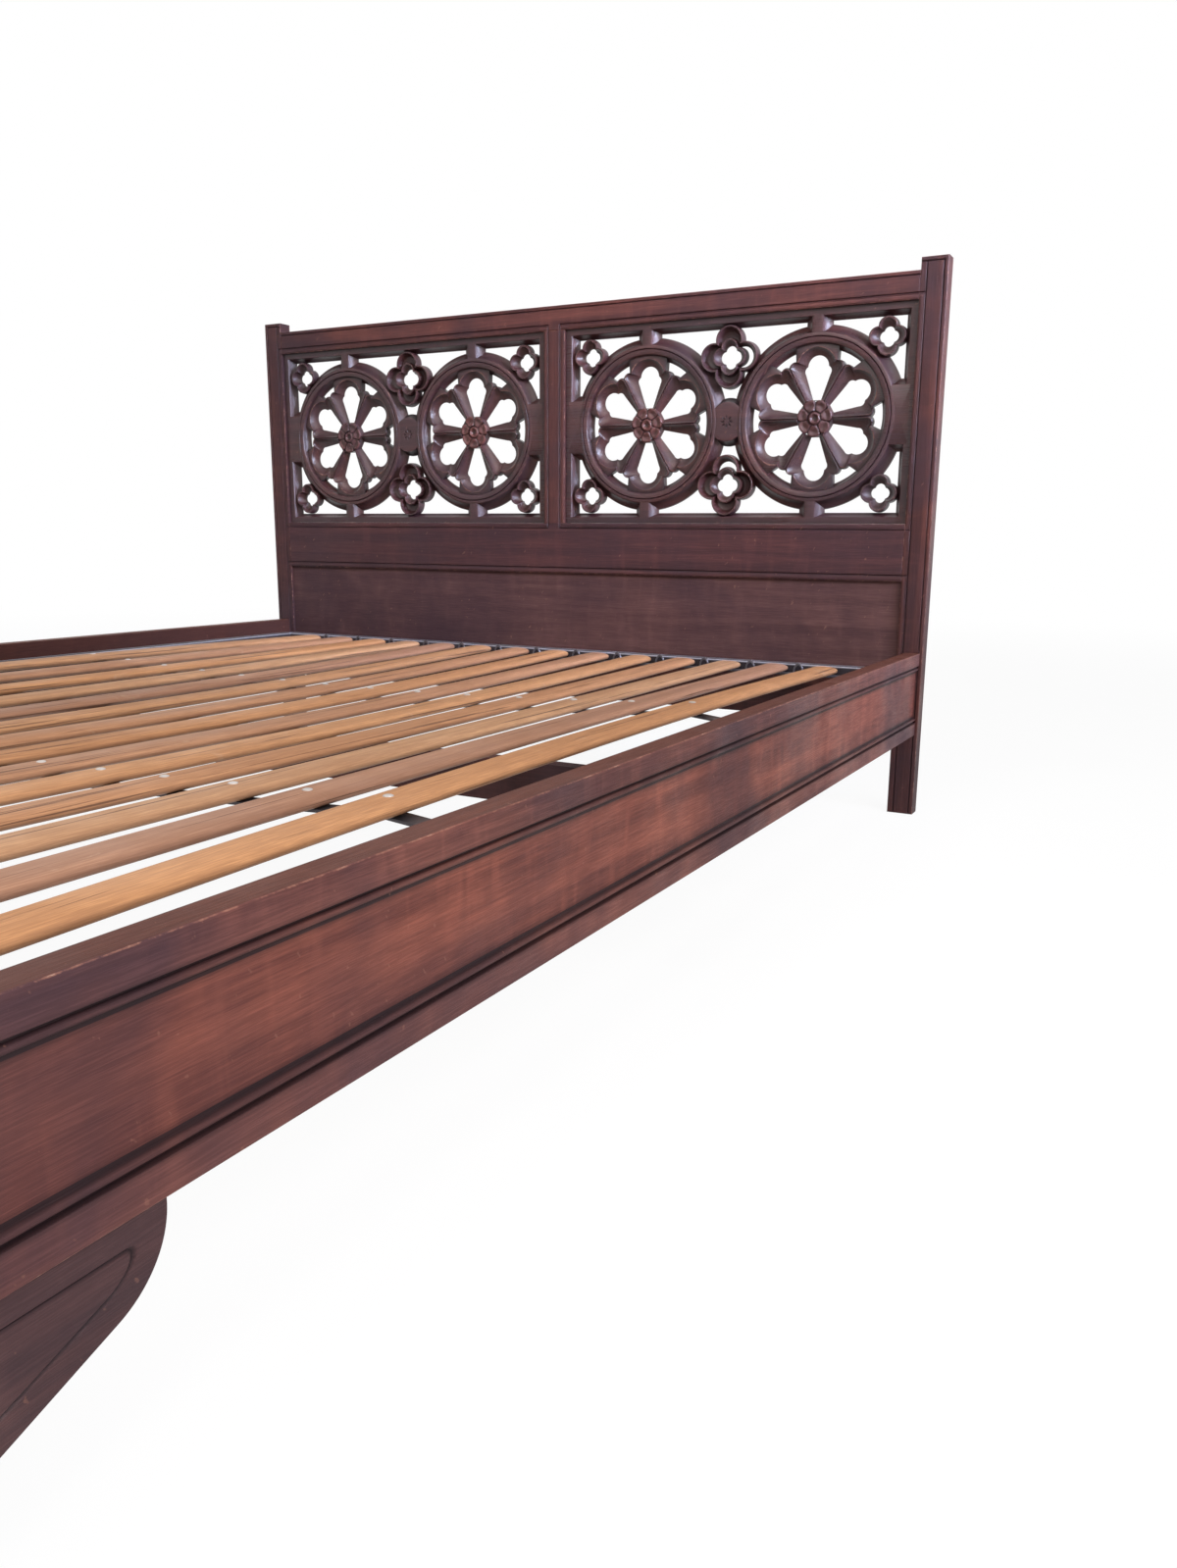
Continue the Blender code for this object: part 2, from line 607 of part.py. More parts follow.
def foot_frame(wood):
    """Two short legs and the foot rail tenoned between them."""
    legs = {}
    for side, sign in SIDES.items():
        inner, outer = sorted((sign * LEG_INNER, sign * HALF_WIDTH))
        top = RAIL_TOP + LEG_ABOVE_RAIL
        legs[side] = box(f"foot_{side}_leg", (inner, FOOT_OUTER, 0.0), (outer, FOOT_INNER, top), wood)
    reach = LEG_INNER - FIT
    low, high = (-reach, FOOT_FIELD, RAIL_BOTTOM), (reach, FOOT_RAIL_INNER, RAIL_TOP)
    board = box("foot_rail_board", low, high, wood)
    near = (FOOT_FIELD + FOOT_RAIL_INNER - TENON_THICKNESS) / 2
    for fitting, clearance in (("tenons", FIT), ("mortises", 0.0)):
        reach = LEG_INNER + FOOT_TENON - clearance
        corner_low = (-reach, near + clearance, RAIL_BOTTOM + FOOT_SHOULDER + clearance)
        corner_high = (reach, near + TENON_THICKNESS - clearance, RAIL_TOP - FOOT_SHOULDER - clearance)
        other = helper(f"foot_rail_{fitting}", block(corner_low, corner_high))
        if fitting == "tenons":
            combine(board, other, "UNION")
        else:
            for leg in legs.values():
                combine(leg, other)
    reach = LEG_INNER - FIT
    rail_mouldings("foot_rail", (-reach, FOOT_FIELD), (reach, FOOT_FIELD), (0, -1), wood)
    return legs


def side_bracket(side, wood):
    """The shaped board under a side rail: a round nose, then a slope down to the foot leg."""
    sign = SIDES[side]
    top = RAIL_BOTTOM - FIT
    turn = 90.0 - BRACKET_SLOPE
    centre = (BRACKET_LENGTH - BRACKET_RADIUS, top - BRACKET_NOSE)
    nose = arc(centre, BRACKET_RADIUS, 0.0, -turn, NOSE_STEPS)
    drop = (nose[-1][0] - FIT) * math.tan(math.radians(BRACKET_SLOPE))
    outline = [(FIT, top), (BRACKET_LENGTH, top)] + nose + [(FIT, nose[-1][1] - drop)]
    loops = [[(sign * x, FOOT_INNER + e, z) for e, z in outline] for x in (RAIL_INNER, RAIL_FIELD)]
    put(f"{side}_foot_bracket", loft(loops), wood)


def bed_irons(side, end, rail, upright, steel):
    """A hooked plate in the rail's end and the slotted plate that it drops into."""
    sign, way = SIDES[side], ENDS[end]
    face = HEAD_FRONT if way > 0 else FOOT_INNER
    x = sign * (RAIL_INNER + RAIL_BOARD / 2)
    z = RAIL_BOTTOM + RAIL_HEIGHT / 2
    half = IRON_THICKNESS / 2

    def corners(half_x, e_low, e_high, z_low, z_high):
        """A box from depths e into the upright (negative into the rail) and heights about the middle."""
        y_low, y_high = sorted((face + way * e_low, face + way * e_high))
        return block((x - half_x, y_low, z + z_low), (x + half_x, y_high, z + z_high))

    tall, bottom = HOOK_PLATE_HEIGHT / 2, -HOOK_PLATE_HEIGHT / 2
    behind = IRON_THICKNESS + FIT
    tip = behind + HOOK_LIP_THICKNESS
    outline = [(-FIT - HOOK_PLATE_LENGTH, bottom), (-FIT, bottom)]
    slots, pockets = bmesh.new(), bmesh.new()
    for middle in (-HOOK_SPACING / 2, HOOK_SPACING / 2):
        under, over = middle - HOOK_RISE / 2, middle + HOOK_RISE / 2
        hook = [(-FIT, under), (behind, under), (behind, under - HOOK_LIP), (tip, under - HOOK_LIP)]
        outline += hook + [(tip, over), (-FIT, over)]
        clear = over + HOOK_LIP + SLOT_PLAY
        for shape, e_low, e_high, low in (
            (slots, -CUT_PAST, behind + CUT_PAST, under - FIT),
            (pockets, IRON_THICKNESS / 2, tip + SLOT_PLAY, under - HOOK_LIP - SLOT_PLAY),
        ):
            y_low, y_high = sorted((face + way * e_low, face + way * e_high))
            block((x - half - SLOT_PLAY, y_low, z + low), (x + half + SLOT_PLAY, y_high, z + clear), shape)
    outline += [(-FIT, tall), (-FIT - HOOK_PLATE_LENGTH, tall)]
    name = f"{end}_{side}"
    loops = [[(x + off, face + way * e, z + h) for e, h in outline] for off in (-half, half)]
    put(f"{name}_hook_plate", loft(loops), steel)
    deep = FIT + HOOK_PLATE_LENGTH + FIT
    slot = corners(half + FIT, -deep, CUT_PAST, bottom - FIT, tall + FIT)
    combine(rail, helper(f"{name}_rail_slot", slot))
    wide, high = SLOT_PLATE_WIDTH / 2, SLOT_PLATE_HEIGHT / 2
    plate = put(f"{name}_slot_plate", corners(wide, 0.0, IRON_THICKNESS, -high, high), steel)
    combine(plate, helper(f"{name}_slots", slots))
    recess = corners(wide + FIT, -CUT_PAST, IRON_THICKNESS + FIT, -high - FIT, high + FIT)
    combine(upright, helper(f"{name}_recess", recess))
    combine(upright, helper(f"{name}_pockets", pockets))


def base_iron(name, half_length, outer, way, lip, steel):
    """One mitred side of the base's steel frame. Its section is (inward, height); way points outward."""
    top, under = BASE_TOP, BASE_TOP - STEEL
    section = [(0.0, top), (0.0, under), (FLANGE - STEEL, under)]
    if lip:
        section += [(FLANGE - STEEL, LIP_TOP - STEEL), (FLANGE + LIP, LIP_TOP - STEEL)]
        section += [(FLANGE + LIP, LIP_TOP), (FLANGE, LIP_TOP), (FLANGE, top)]
    else:
        section += [(FLANGE - STEEL, BASE_BOTTOM), (FLANGE, BASE_BOTTOM), (FLANGE, top)]
    loops = []
    for end in (-1, 1):
        loop = []
        for inward, z in section:
            run = end * (half_length - inward - FIT)
            across = outer - inward
            loop.append((run, way * across, z) if lip else (way * across, run, z))
        loops.append(loop)
    return put(name, loft(loops), steel, (0.0, BASE_MIDDLE, 0.0))


def sag(x, y):
    """How far a slat hangs at a place counted from the base's middle: the middle slats hang, the
    outermost ones are bowed up, and their ends lie level."""
    along = math.cos(math.pi / 2 * y / SAG_HALF_LENGTH)
    return (SAG - (SAG + SLAT_RISE) * (x / SLAT_REACH) ** 2) * along


def slat_section():
    """Section of a slat, a full rounded oval standing on Z = 0."""
    points = []
    half_width, half_height = SLAT_WIDTH / 2, SLAT_THICKNESS / 2
    for i in range(SLAT_STEPS):
        angle = 2 * math.pi * i / SLAT_STEPS
        across, up = math.cos(angle), math.sin(angle)
        x = math.copysign(abs(across) ** (2 / SLAT_FULLNESS), across)
        z = math.copysign(abs(up) ** (2 / SLAT_FULLNESS), up)
        points.append((half_width * x, half_height * (1 + z)))
    return points


def slat(name, x, wood):
    """One slat, bent a little in its middle and level where it lies on a lip or a strap."""
    run = SAG_HALF_LENGTH - FIT
    level = STRAP_WIDTH / 2 + SLAT_LEVEL_MARGIN
    on_lip = SAG_HALF_LENGTH - LIP - SLAT_LEVEL_MARGIN
    stations = [(0.0, sag(x, 0.0))]
    for end, way in ENDS.items():
        strap = STRAP_PLACES[end]
        between = (strap + on_lip) / 2
        half = [(strap - level, sag(x, strap)), (strap + level, sag(x, strap))]
        half += [(between, sag(x, between)), (on_lip, 0.0), (run, 0.0)]
        stations += [(way * y, drop) for y, drop in half]
    stations.sort(reverse=True)
    loops = [[(px, y, pz - drop) for px, pz in slat_section()] for y, drop in stations]
    return put(name, loft(loops), wood, (x, BASE_MIDDLE, SLAT_BOTTOM))


def strap(name, y, places, steel):
    """One flat cross strap, bent as the slats that lie on it at these places, level at its ends."""
    reach = SAG_HALF_WIDTH - FIT
    drops = [(-reach, 0.0)] + [(x, sag(x, y)) for x in places] + [(reach, 0.0)]
    loops = []
    for x, drop in drops:
        top = LIP_TOP - drop
        corners = ((-1, top - STEEL), (1, top - STEEL), (1, top), (-1, top))
        loops.append([(x, y + STRAP_WIDTH / 2 * side, z) for side, z in corners])
    return put(name, loft(loops), steel, (0.0, BASE_MIDDLE, 0.0))


def slatted_base(steel, slat_wood):
    """The loose base: four mitred irons, two straps and lengthwise slats, on one empty that lifts."""
    half_length = (BASE_HEAD - BASE_FOOT) / 2
    places = [SLAT_REACH * (2 * i / (SLATS - 1) - 1) for i in range(SLATS)]
    pieces = []
    for side, sign in SIDES.items():
        pieces.append(base_iron(f"base_{side}_iron", half_length, BASE_HALF_WIDTH, sign, False, steel))
    for end, way in ENDS.items():
        pieces.append(base_iron(f"base_{end}_iron", BASE_HALF_WIDTH, half_length, way, True, steel))
        pieces.append(strap(f"base_{end}_strap", way * STRAP_PLACES[end], places, steel))
    for i, x in enumerate(places):
        pieces.append(slat(f"slat_{i + 1:02d}", x, slat_wood))
    lift = bpy.data.objects.new("slatted_base_lift", None)
    lift.location = (0.0, BASE_MIDDLE, BASE_BOTTOM)
    bpy.context.collection.objects.link(lift)
    for piece in pieces:
        piece.parent = lift
        piece.matrix_parent_inverse = Matrix.Translation(-lift.location)


def base_supports(wood):
    """Cleats at head and foot, and a bearer across the middle on blocks fixed to the side rails."""
    reach = BASE_HALF_WIDTH - CLEAT_END_MARGIN
    web = FLANGE - STEEL - CLEAT_CLEARANCE
    for end, near, far in (
        ("head", HEAD_FRONT - FIT, BASE_HEAD - web),
        ("foot", FOOT_RAIL_INNER + FIT, BASE_FOOT + web),
    ):
        y_low, y_high = sorted((near, far))
        low, high = (-reach, y_low, CLEAT_TOP - CLEAT_HEIGHT), (reach, y_high, CLEAT_TOP)
        box(f"{end}_cleat", low, high, wood)
    reach = RAIL_INNER - FIT
    half = BEARER_THICKNESS / 2
    low, high = (-reach, MIDDLE - half, BEARER_TOP - BEARER_HEIGHT), (reach, MIDDLE + half, BEARER_TOP)
    box("centre_bearer", low, high, wood)
    top = BEARER_TOP - BEARER_HEIGHT - FIT
    half = BEARER_BLOCK_LENGTH / 2
    for side, sign in SIDES.items():
        inner, outer = sorted((sign * (reach - BEARER_BLOCK_DEPTH), sign * reach))
        low, high = (inner, MIDDLE - half, top - BEARER_BLOCK_HEIGHT), (outer, MIDDLE + half, top)
        box(f"{side}_bearer_block", low, high, wood)


def main():
    clear_scene()
    stained = finish("stained_wood", STAINED_COLOUR, STAINED_ROUGHNESS)
    rosette_wood = finish("rosette_wood", ROSETTE_COLOUR, STAINED_ROUGHNESS)
    slat_wood = finish("slat_wood", SLAT_COLOUR, SLAT_ROUGHNESS)
    steel = finish("grey_steel", STEEL_COLOUR, STEEL_ROUGHNESS, metallic=1.0)
    uprights = {"head": headboard_frame(stained)}
    lower_panel(stained)
    uprights["foot"] = foot_frame(stained)
    for side in SIDES:
        tracery_board(side, stained, rosette_wood)
        rail = side_rail(side, stained)
        side_bracket(side, stained)
        for end in ENDS:
            bed_irons(side, end, rail, uprights[end][side], steel)
    base_supports(stained)
    slatted_base(steel, slat_wood)


main()
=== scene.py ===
# %% [markdown]
# A double bed in dark stained wood. The headboard holds two carved openwork boards of rose
# tracery, plain moulded rails run to a low foot end, and a loose base of oval slats lies inside.
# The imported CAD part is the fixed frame. This lesson dresses it: most solids get a finer surface
# worked out with numpy, the rest keep their shape and get a finish.

# %% Load the frame
import math

import bmesh
import bpy
import numpy as np
from mathutils import Euler, Matrix, Vector


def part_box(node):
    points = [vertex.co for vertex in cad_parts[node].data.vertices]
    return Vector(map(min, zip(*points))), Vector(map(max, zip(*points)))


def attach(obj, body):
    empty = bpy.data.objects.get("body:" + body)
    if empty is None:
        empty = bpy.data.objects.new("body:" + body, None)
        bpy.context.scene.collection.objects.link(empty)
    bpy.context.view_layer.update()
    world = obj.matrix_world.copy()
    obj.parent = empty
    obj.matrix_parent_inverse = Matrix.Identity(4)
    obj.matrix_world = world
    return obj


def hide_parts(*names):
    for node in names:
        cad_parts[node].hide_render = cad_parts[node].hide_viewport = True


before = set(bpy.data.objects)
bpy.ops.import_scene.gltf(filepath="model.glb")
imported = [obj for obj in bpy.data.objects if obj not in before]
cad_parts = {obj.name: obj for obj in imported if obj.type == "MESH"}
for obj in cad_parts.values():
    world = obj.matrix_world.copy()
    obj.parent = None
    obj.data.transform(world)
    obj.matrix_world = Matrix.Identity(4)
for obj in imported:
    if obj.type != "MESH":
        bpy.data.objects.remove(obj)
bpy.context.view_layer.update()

# %% [markdown]
# Every shape below is a grid of points. A grid has rows and columns, and each square of four
# neighbours becomes one face. A direction that closes on itself, like the way round a ring, also
# joins its last line to its first. Two numbers ride on every point: how worn the wood is there
# (its arrises) and its hollow, which paints it darker: dirt in its grooves, and painted shade in
# other places. The finishes read them as attributes.

# %% Grids and shells
def grid_faces(rows, columns, wrap_rows=False, wrap_columns=False):
    """Corner numbers of a grid's quads; a wrapped direction joins its last line to its first."""
    numbers = np.arange(rows * columns).reshape(rows, columns)
    if wrap_rows:
        numbers = np.vstack([numbers, numbers[:1]])
    if wrap_columns:
        numbers = np.hstack([numbers, numbers[:, :1]])
    quads = [numbers[:-1, :-1], numbers[1:, :-1], numbers[1:, 1:], numbers[:-1, 1:]]
    return np.stack(quads, axis=-1).reshape(-1, 4)


def by_row(values, shape):
    """One number for all, one per row or one per point, spread over a grid of this shape."""
    values = np.asarray(values, float)
    if values.ndim == 1:
        values = values[:, None]
    return values * np.ones(shape)


def shell(points, wear=0.0, hollow=0.0, wrap_rows=False, wrap_columns=True):
    """A skin made from a grid of points (rows, columns, 3), with its wear and its hollow."""
    shape = points.shape[:2]
    faces = grid_faces(*shape, wrap_rows, wrap_columns)
    return points.reshape(-1, 3), faces, by_row(wear, shape).ravel(), by_row(hollow, shape).ravel()


def joined(shells):
    """Several skins as one: their points one after another, and their faces counted on."""
    starts = np.cumsum([0] + [len(skin[0]) for skin in shells[:-1]])
    faces = np.concatenate([skin[1] + start for skin, start in zip(shells, starts)])
    points, wear, hollow = [np.concatenate([skin[i] for skin in shells]) for i in (0, 2, 3)]
    return points, faces, wear, hollow


print("a ring of 4 rows and 6 columns has", len(grid_faces(4, 6, False, True)), "faces")

# %% [markdown]
# A skin becomes a piece here. Rows that meet in one point (the middle of a disc) are welded, the
# faces are turned outwards, and edges sharper than the crease angle stay crisp while all others
# shade smoothly. Each piece then rides on its CAD body and stands for the nodes it replaces.

# %% From skins to a piece
WELD, CREASE = 1e-6, 34.0


def piece(name, shells, finish, body, replaces=(), crease=CREASE, tone=0.0):
    """Welds the skins into one mesh object at the origin and hangs it on a body of the frame."""
    points, faces, wear, hollow = joined(shells)
    mesh = bpy.data.meshes.new(name)
    mesh.from_pydata(points.tolist(), [], faces.tolist())
    for title, values in (("wear", wear), ("hollow", hollow), ("tone", wear * 0.0 + tone)):
        mesh.attributes.new(title, "FLOAT", "POINT").data.foreach_set("value", values)
    skin = bmesh.new()
    skin.from_mesh(mesh)
    bmesh.ops.remove_doubles(skin, verts=skin.verts, dist=WELD)
    bmesh.ops.recalc_face_normals(skin, faces=skin.faces)
    skin.to_mesh(mesh)
    skin.free()
    mesh.polygons.foreach_set("use_smooth", np.ones(len(mesh.polygons), bool))
    mesh.set_sharp_from_angle(angle=math.radians(crease))
    mesh.materials.append(finish)
    obj = bpy.data.objects.new(name, mesh)
    bpy.context.scene.collection.objects.link(obj)
    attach(obj, body)
    if replaces:
        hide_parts(*replaces)
    print(name, len(mesh.polygons), "faces")
    return obj


print("edges over", CREASE, "degrees stay crisp")

# %% [markdown]
# The finishes come next. A few small helpers put nodes into a tree, so that a finish reads like a
# list: a cloud of noise, a range spread over another, a paint laid over a colour. The same could be
# clicked together in the shader editor, but written down it can be used for every board.

# %% Node helpers
def feed(tree, socket, value):
    """Links an input to another node's socket, or sets it to a plain value."""
    if isinstance(value, bpy.types.NodeSocket):
        tree.links.new(value, socket)
    else:
        socket.default_value = value


def add(tree, kind, inputs=None, **settings):
    """Puts one node into a tree, with its settings and its inputs by name or number."""
    made = tree.nodes.new(kind)
    for name, value in settings.items():
        setattr(made, name, value)
    for name, value in (inputs or {}).items():
        feed(tree, made.inputs[name], value)
    return made


def noise(tree, place, scale, detail=4.0, roughness=0.55, distortion=0.0):
    """A cloud of values from 0 to 1 over these coordinates."""
    inputs = {"Vector": place, "Scale": scale, "Detail": detail, "Roughness": roughness}
    inputs["Distortion"] = distortion
    return add(tree, "ShaderNodeTexNoise", inputs).outputs["Fac"]


def stretch(tree, value, low, high, to_low=0.0, to_high=1.0):
    """Spreads the values between low and high smoothly over a new range."""
    inputs = {"Value": value, "From Min": low, "From Max": high, "To Min": to_low, "To Max": to_high}
    return add(tree, "ShaderNodeMapRange", inputs, interpolation_type="SMOOTHSTEP").outputs["Result"]


def mapped(tree, place, setting, values):
    """Coordinates moved, turned or squeezed; the setting is Location, Rotation or Scale."""
    return add(tree, "ShaderNodeMapping", {"Vector": place, setting: values}).outputs["Vector"]


def attribute(tree, name):
    """A number that rides on the points of the mesh."""
    return add(tree, "ShaderNodeAttribute", attribute_name=name).outputs["Fac"]


def maths(tree, operation, first, second):
    """One sum on two values."""
    return add(tree, "ShaderNodeMath", {0: first, 1: second}, operation=operation).outputs["Value"]


def blend(tree, share, first, second):
    """Two colours mixed by a share; a colour mix has its factor at input 0, its colours at 6 and 7."""
    inputs = {0: share, 6: first, 7: second}
    return add(tree, "ShaderNodeMix", inputs, data_type="RGBA").outputs[2]


def cover(tree, colour, mask, share, paint):
    """A paint laid over a colour where the mask is, by this share at most."""
    return blend(tree, maths(tree, "MULTIPLY", mask, share), colour, paint)


helpers = (feed, add, noise, stretch, mapped, attribute, maths, blend, cover)
print("node helpers", [helper.__name__ for helper in helpers])

# %% [markdown]
# Wood figure: long streaks along the grain, fine pores in them, and broad clouds where the stain
# took unevenly. A photograph of wood could be wrapped on instead, but noise stretched along the
# grain has no seams and works on every board. Several finishes need it, so it is a node group,
# which only puts out masks. The Grain input is already squeezed along the grain.

# %% Wood figure group
def new_group(name, inputs, outputs):
    """An empty node group with these named sockets, its inputs and its output node."""
    tree = bpy.data.node_groups.new(name, "ShaderNodeTree")
    for title, kind in inputs:
        tree.interface.new_socket(title, in_out="INPUT", socket_type="NodeSocket" + kind)
    for title in outputs:
        tree.interface.new_socket(title, in_out="OUTPUT", socket_type="NodeSocketFloat")
    start = tree.nodes.new("NodeGroupInput")
    return tree, start.outputs, tree.nodes.new("NodeGroupOutput")


def put_masks(tree, put_out, masks):
    """Gives each output of a group its mask: a value between two bounds, spread from 0 to 1."""
    for title, (value, low, high) in masks.items():
        feed(tree, put_out.inputs[title], stretch(tree, value, low, high))
    print("group", tree.name, "puts out", list(masks))


figure_tree, given, put_out = new_group(
    "wood figure", [("Grain", "Vector"), ("Place", "Vector")], ["Streaks", "Pores", "Clouds"]
)
streaks = noise(figure_tree, given["Grain"], 1.0, 7.0, 0.62, 0.5)
pores = noise(figure_tree, given["Grain"], 15.0, 3.0, 0.7)
clouds = noise(figure_tree, given["Place"], 5.5, 3.0, 0.6)
masks = {"Streaks": (streaks, 0.28, 0.72), "Pores": (pores, 0.30, 0.62), "Clouds": (clouds, 0.30, 0.70)}
put_masks(figure_tree, put_out, masks)

# %% [markdown]
# Wear: arrises are rubbed through to paler wood in broken patches, and here and there a scratch
# shows on the flat. A bevel shader could find the arrises, but the grids know where they are: the
# wear attribute says it, and noise breaks it up.

# %% Wear group
wear_tree, given, put_out = new_group(
    "rubbed arris", [("Wear", "Float"), ("Place", "Vector")], ["Rubbed", "Chips", "Scratches"]
)
patches = noise(wear_tree, given["Place"], 85.0, 6.0, 0.7)
rubbed = maths(wear_tree, "ADD", given["Wear"], maths(wear_tree, "MULTIPLY", patches, 0.9))
aslant = mapped(wear_tree, given["Place"], "Rotation", (0.7, 0.4, 0.9))
thin = noise(wear_tree, mapped(wear_tree, aslant, "Scale", (2.5, 160.0, 160.0)), 1.0, 2.0, 0.5)
masks = {"Rubbed": (rubbed, 1.32, 1.50), "Chips": (rubbed, 1.50, 1.58), "Scratches": (thin, 0.70, 0.76)}
put_masks(wear_tree, put_out, masks)

# %% [markdown]
# Every finish opens and closes in the same way. It opens with Object coordinates, which for these
# pieces are metres in the bed's own frame, and with both groups on them. It closes with a bump and
# the Principled shader, which stays in the material itself so that the export can read it.

# %% Opening and closing a finish
GRAIN_SQUEEZE = {"X": (1.6, 46.0, 46.0), "Y": (46.0, 1.6, 46.0), "Z": (46.0, 46.0, 1.6)}


def empty_material(name):
    """A new material without nodes but its Object coordinates."""
    material = bpy.data.materials.new(name)
    material.use_nodes = True
    tree = material.node_tree
    tree.nodes.clear()
    return material, tree, add(tree, "ShaderNodeTexCoord").outputs["Object"]


def start_material(name, grain):
    """A new material with the wood figure along one axis and the worn arrises."""
    material, tree, place = empty_material(name)
    figure_inputs = {"Grain": mapped(tree, place, "Scale", GRAIN_SQUEEZE[grain]), "Place": place}
    figure = add(tree, "ShaderNodeGroup", figure_inputs, node_tree=figure_tree)
    worn_inputs = {"Wear": attribute(tree, "wear"), "Place": place}
    worn = add(tree, "ShaderNodeGroup", worn_inputs, node_tree=wear_tree)
    return material, tree, place, figure.outputs, worn.outputs


def close_material(tree, colour, rough, height, depth, **sockets):
    """The Principled shader with a bump of this depth in metres, and its output."""
    bump = add(tree, "ShaderNodeBump", {"Strength": 1.0, "Distance": depth, "Height": height})
    inputs = {"Base Color": colour, "Roughness": rough, "Normal": bump.outputs["Normal"]}
    inputs.update({name.replace("_", " "): value for name, value in sockets.items()})
    shader = add(tree, "ShaderNodeBsdfPrincipled", inputs)
    add(tree, "ShaderNodeOutputMaterial", {"Surface": shader.outputs["BSDF"]})


def toned(colour, factor):
    """A colour made lighter or darker by a factor."""
    return (*[factor * value for value in colour[:3]], colour[3])


print("grain can run along", list(GRAIN_SQUEEZE))

# %% [markdown]
# Stained wood: a thin dark red-brown stain under old polish. The streaks show through it, grooves
# hold dark dirt, the same dark colour is painted as shade on walls below sharp arrises, on beads
# and in the rosettes' cups, arrises are rubbed to orange-brown, and the sheen is uneven. One
# function makes it for grain along X, Y or Z, because boards are always cut with the grain along
# their length.

# %% Stained wood
RIPPLE = {"X": (40.0, 9.0, 9.0), "Y": (9.0, 40.0, 9.0), "Z": (9.0, 9.0, 40.0)}
RIPPLE_GLOW = 1.25
RUBBED, CHIPPED = (0.330, 0.150, 0.105, 1.0), (0.480, 0.340, 0.260, 1.0)
DIRT_AND_SHADE, WASH = (0.012, 0.007, 0.009, 1.0), (0.100, 0.034, 0.021, 1.0)
WASH_SHARE, PORE_SHARE, DIRT_AND_SHADE_SHARE = 0.80, 0.30, 0.85
RUBBED_SHARE, CHIP_SHARE, SCRATCH_SHARE = 0.55, 0.60, 0.25
STAIN_BUMP = 0.00012


def stained_wood(name, grain, dark, light, smear, sheen=0.45, gloss=0.20, drift=0.0):
    """Streaks between a dark and a light colour, ripples across the grain, and a cooler colour for
    the smears of old polish, which lie over them in soft patches and can be moved along Y by the
    drift. The tone attribute shows where a face only got a thin brown wash."""
    material, tree, place, figure, worn = start_material(name, grain)
    colour = blend(tree, stretch(tree, figure["Streaks"], 0.0, 1.0, 0.10, 0.90), dark, light)
    ripple = noise(tree, mapped(tree, place, "Scale", RIPPLE[grain]), 1.0, 2.0, 0.5, 0.6)
    ripple = stretch(tree, ripple, 0.45, 0.75, 0.0, 0.35)
    colour = blend(tree, ripple, colour, toned(light, RIPPLE_GLOW))
    patches = noise(tree, mapped(tree, place, "Location", (0.0, drift, 0.0)), 2.6, 4.0, 0.6, 0.4)
    colour = blend(tree, stretch(tree, patches, 0.42, 0.68, 0.0, 0.80), colour, smear)
    colour = blend(tree, stretch(tree, figure["Clouds"], 0.0, 1.0, 0.0, 0.35), colour, smear)
    colour = cover(tree, colour, attribute(tree, "tone"), WASH_SHARE, WASH)
    colour = cover(tree, colour, figure["Pores"], PORE_SHARE, DIRT_AND_SHADE)
    # dirt and painted shade: the hollow attribute lays dirt in grooves and painted shade below the
    # carving's arrises, on the beads and in the rosettes' cups
    colour = cover(tree, colour, attribute(tree, "hollow"), DIRT_AND_SHADE_SHARE, DIRT_AND_SHADE)
    colour = cover(tree, colour, worn["Rubbed"], RUBBED_SHARE, RUBBED)
    colour = cover(tree, colour, worn["Chips"], CHIP_SHARE, CHIPPED)
    colour = cover(tree, colour, worn["Scratches"], SCRATCH_SHARE, RUBBED)
    rough = stretch(tree, figure["Clouds"], 0.0, 1.0, sheen - 0.07, sheen + 0.10)
    rough = maths(tree, "ADD", rough, maths(tree, "MULTIPLY", figure["Pores"], 0.08))
    height = maths(tree, "SUBTRACT", figure["Streaks"], figure["Pores"])
    height = maths(tree, "SUBTRACT", height, maths(tree, "MULTIPLY", worn["Rubbed"], 0.8))
    close_material(tree, colour, rough, height, STAIN_BUMP, Specular_IOR_Level=gloss)
    return material


print("stain over", len(RIPPLE), "grain directions")

# %% [markdown]
# The stain did not take alike on every member. The frame is dark and even, the carving darker and
# glossier, the rails redder, and their mouldings a little cooler. A stain is a dark and a light
# colour for the streaks and one for the smears, so each member can have its own from one function.

# %% Stained finishes
FRAME_SMEAR = (0.045, 0.022, 0.027, 1.0)
FRAME_STAIN = ((0.058, 0.019, 0.018, 1.0), (0.160, 0.052, 0.040, 1.0), FRAME_SMEAR)
UPRIGHT_STAIN = ((0.045, 0.015, 0.014, 1.0), (0.126, 0.041, 0.031, 1.0), FRAME_SMEAR)
STRETCHER_STAIN = ((0.044, 0.018, 0.020, 1.0), (0.108, 0.038, 0.035, 1.0), FRAME_SMEAR)
CARVED_STAIN = ((0.038, 0.013, 0.014, 1.0), (0.086, 0.029, 0.026, 1.0), FRAME_SMEAR)
PANEL_STAIN = ((0.078, 0.034, 0.032, 1.0), (0.130, 0.060, 0.054, 1.0), FRAME_SMEAR)
ROSETTE_STAIN = ((0.090, 0.029, 0.025, 1.0), (0.165, 0.052, 0.042, 1.0), FRAME_SMEAR)
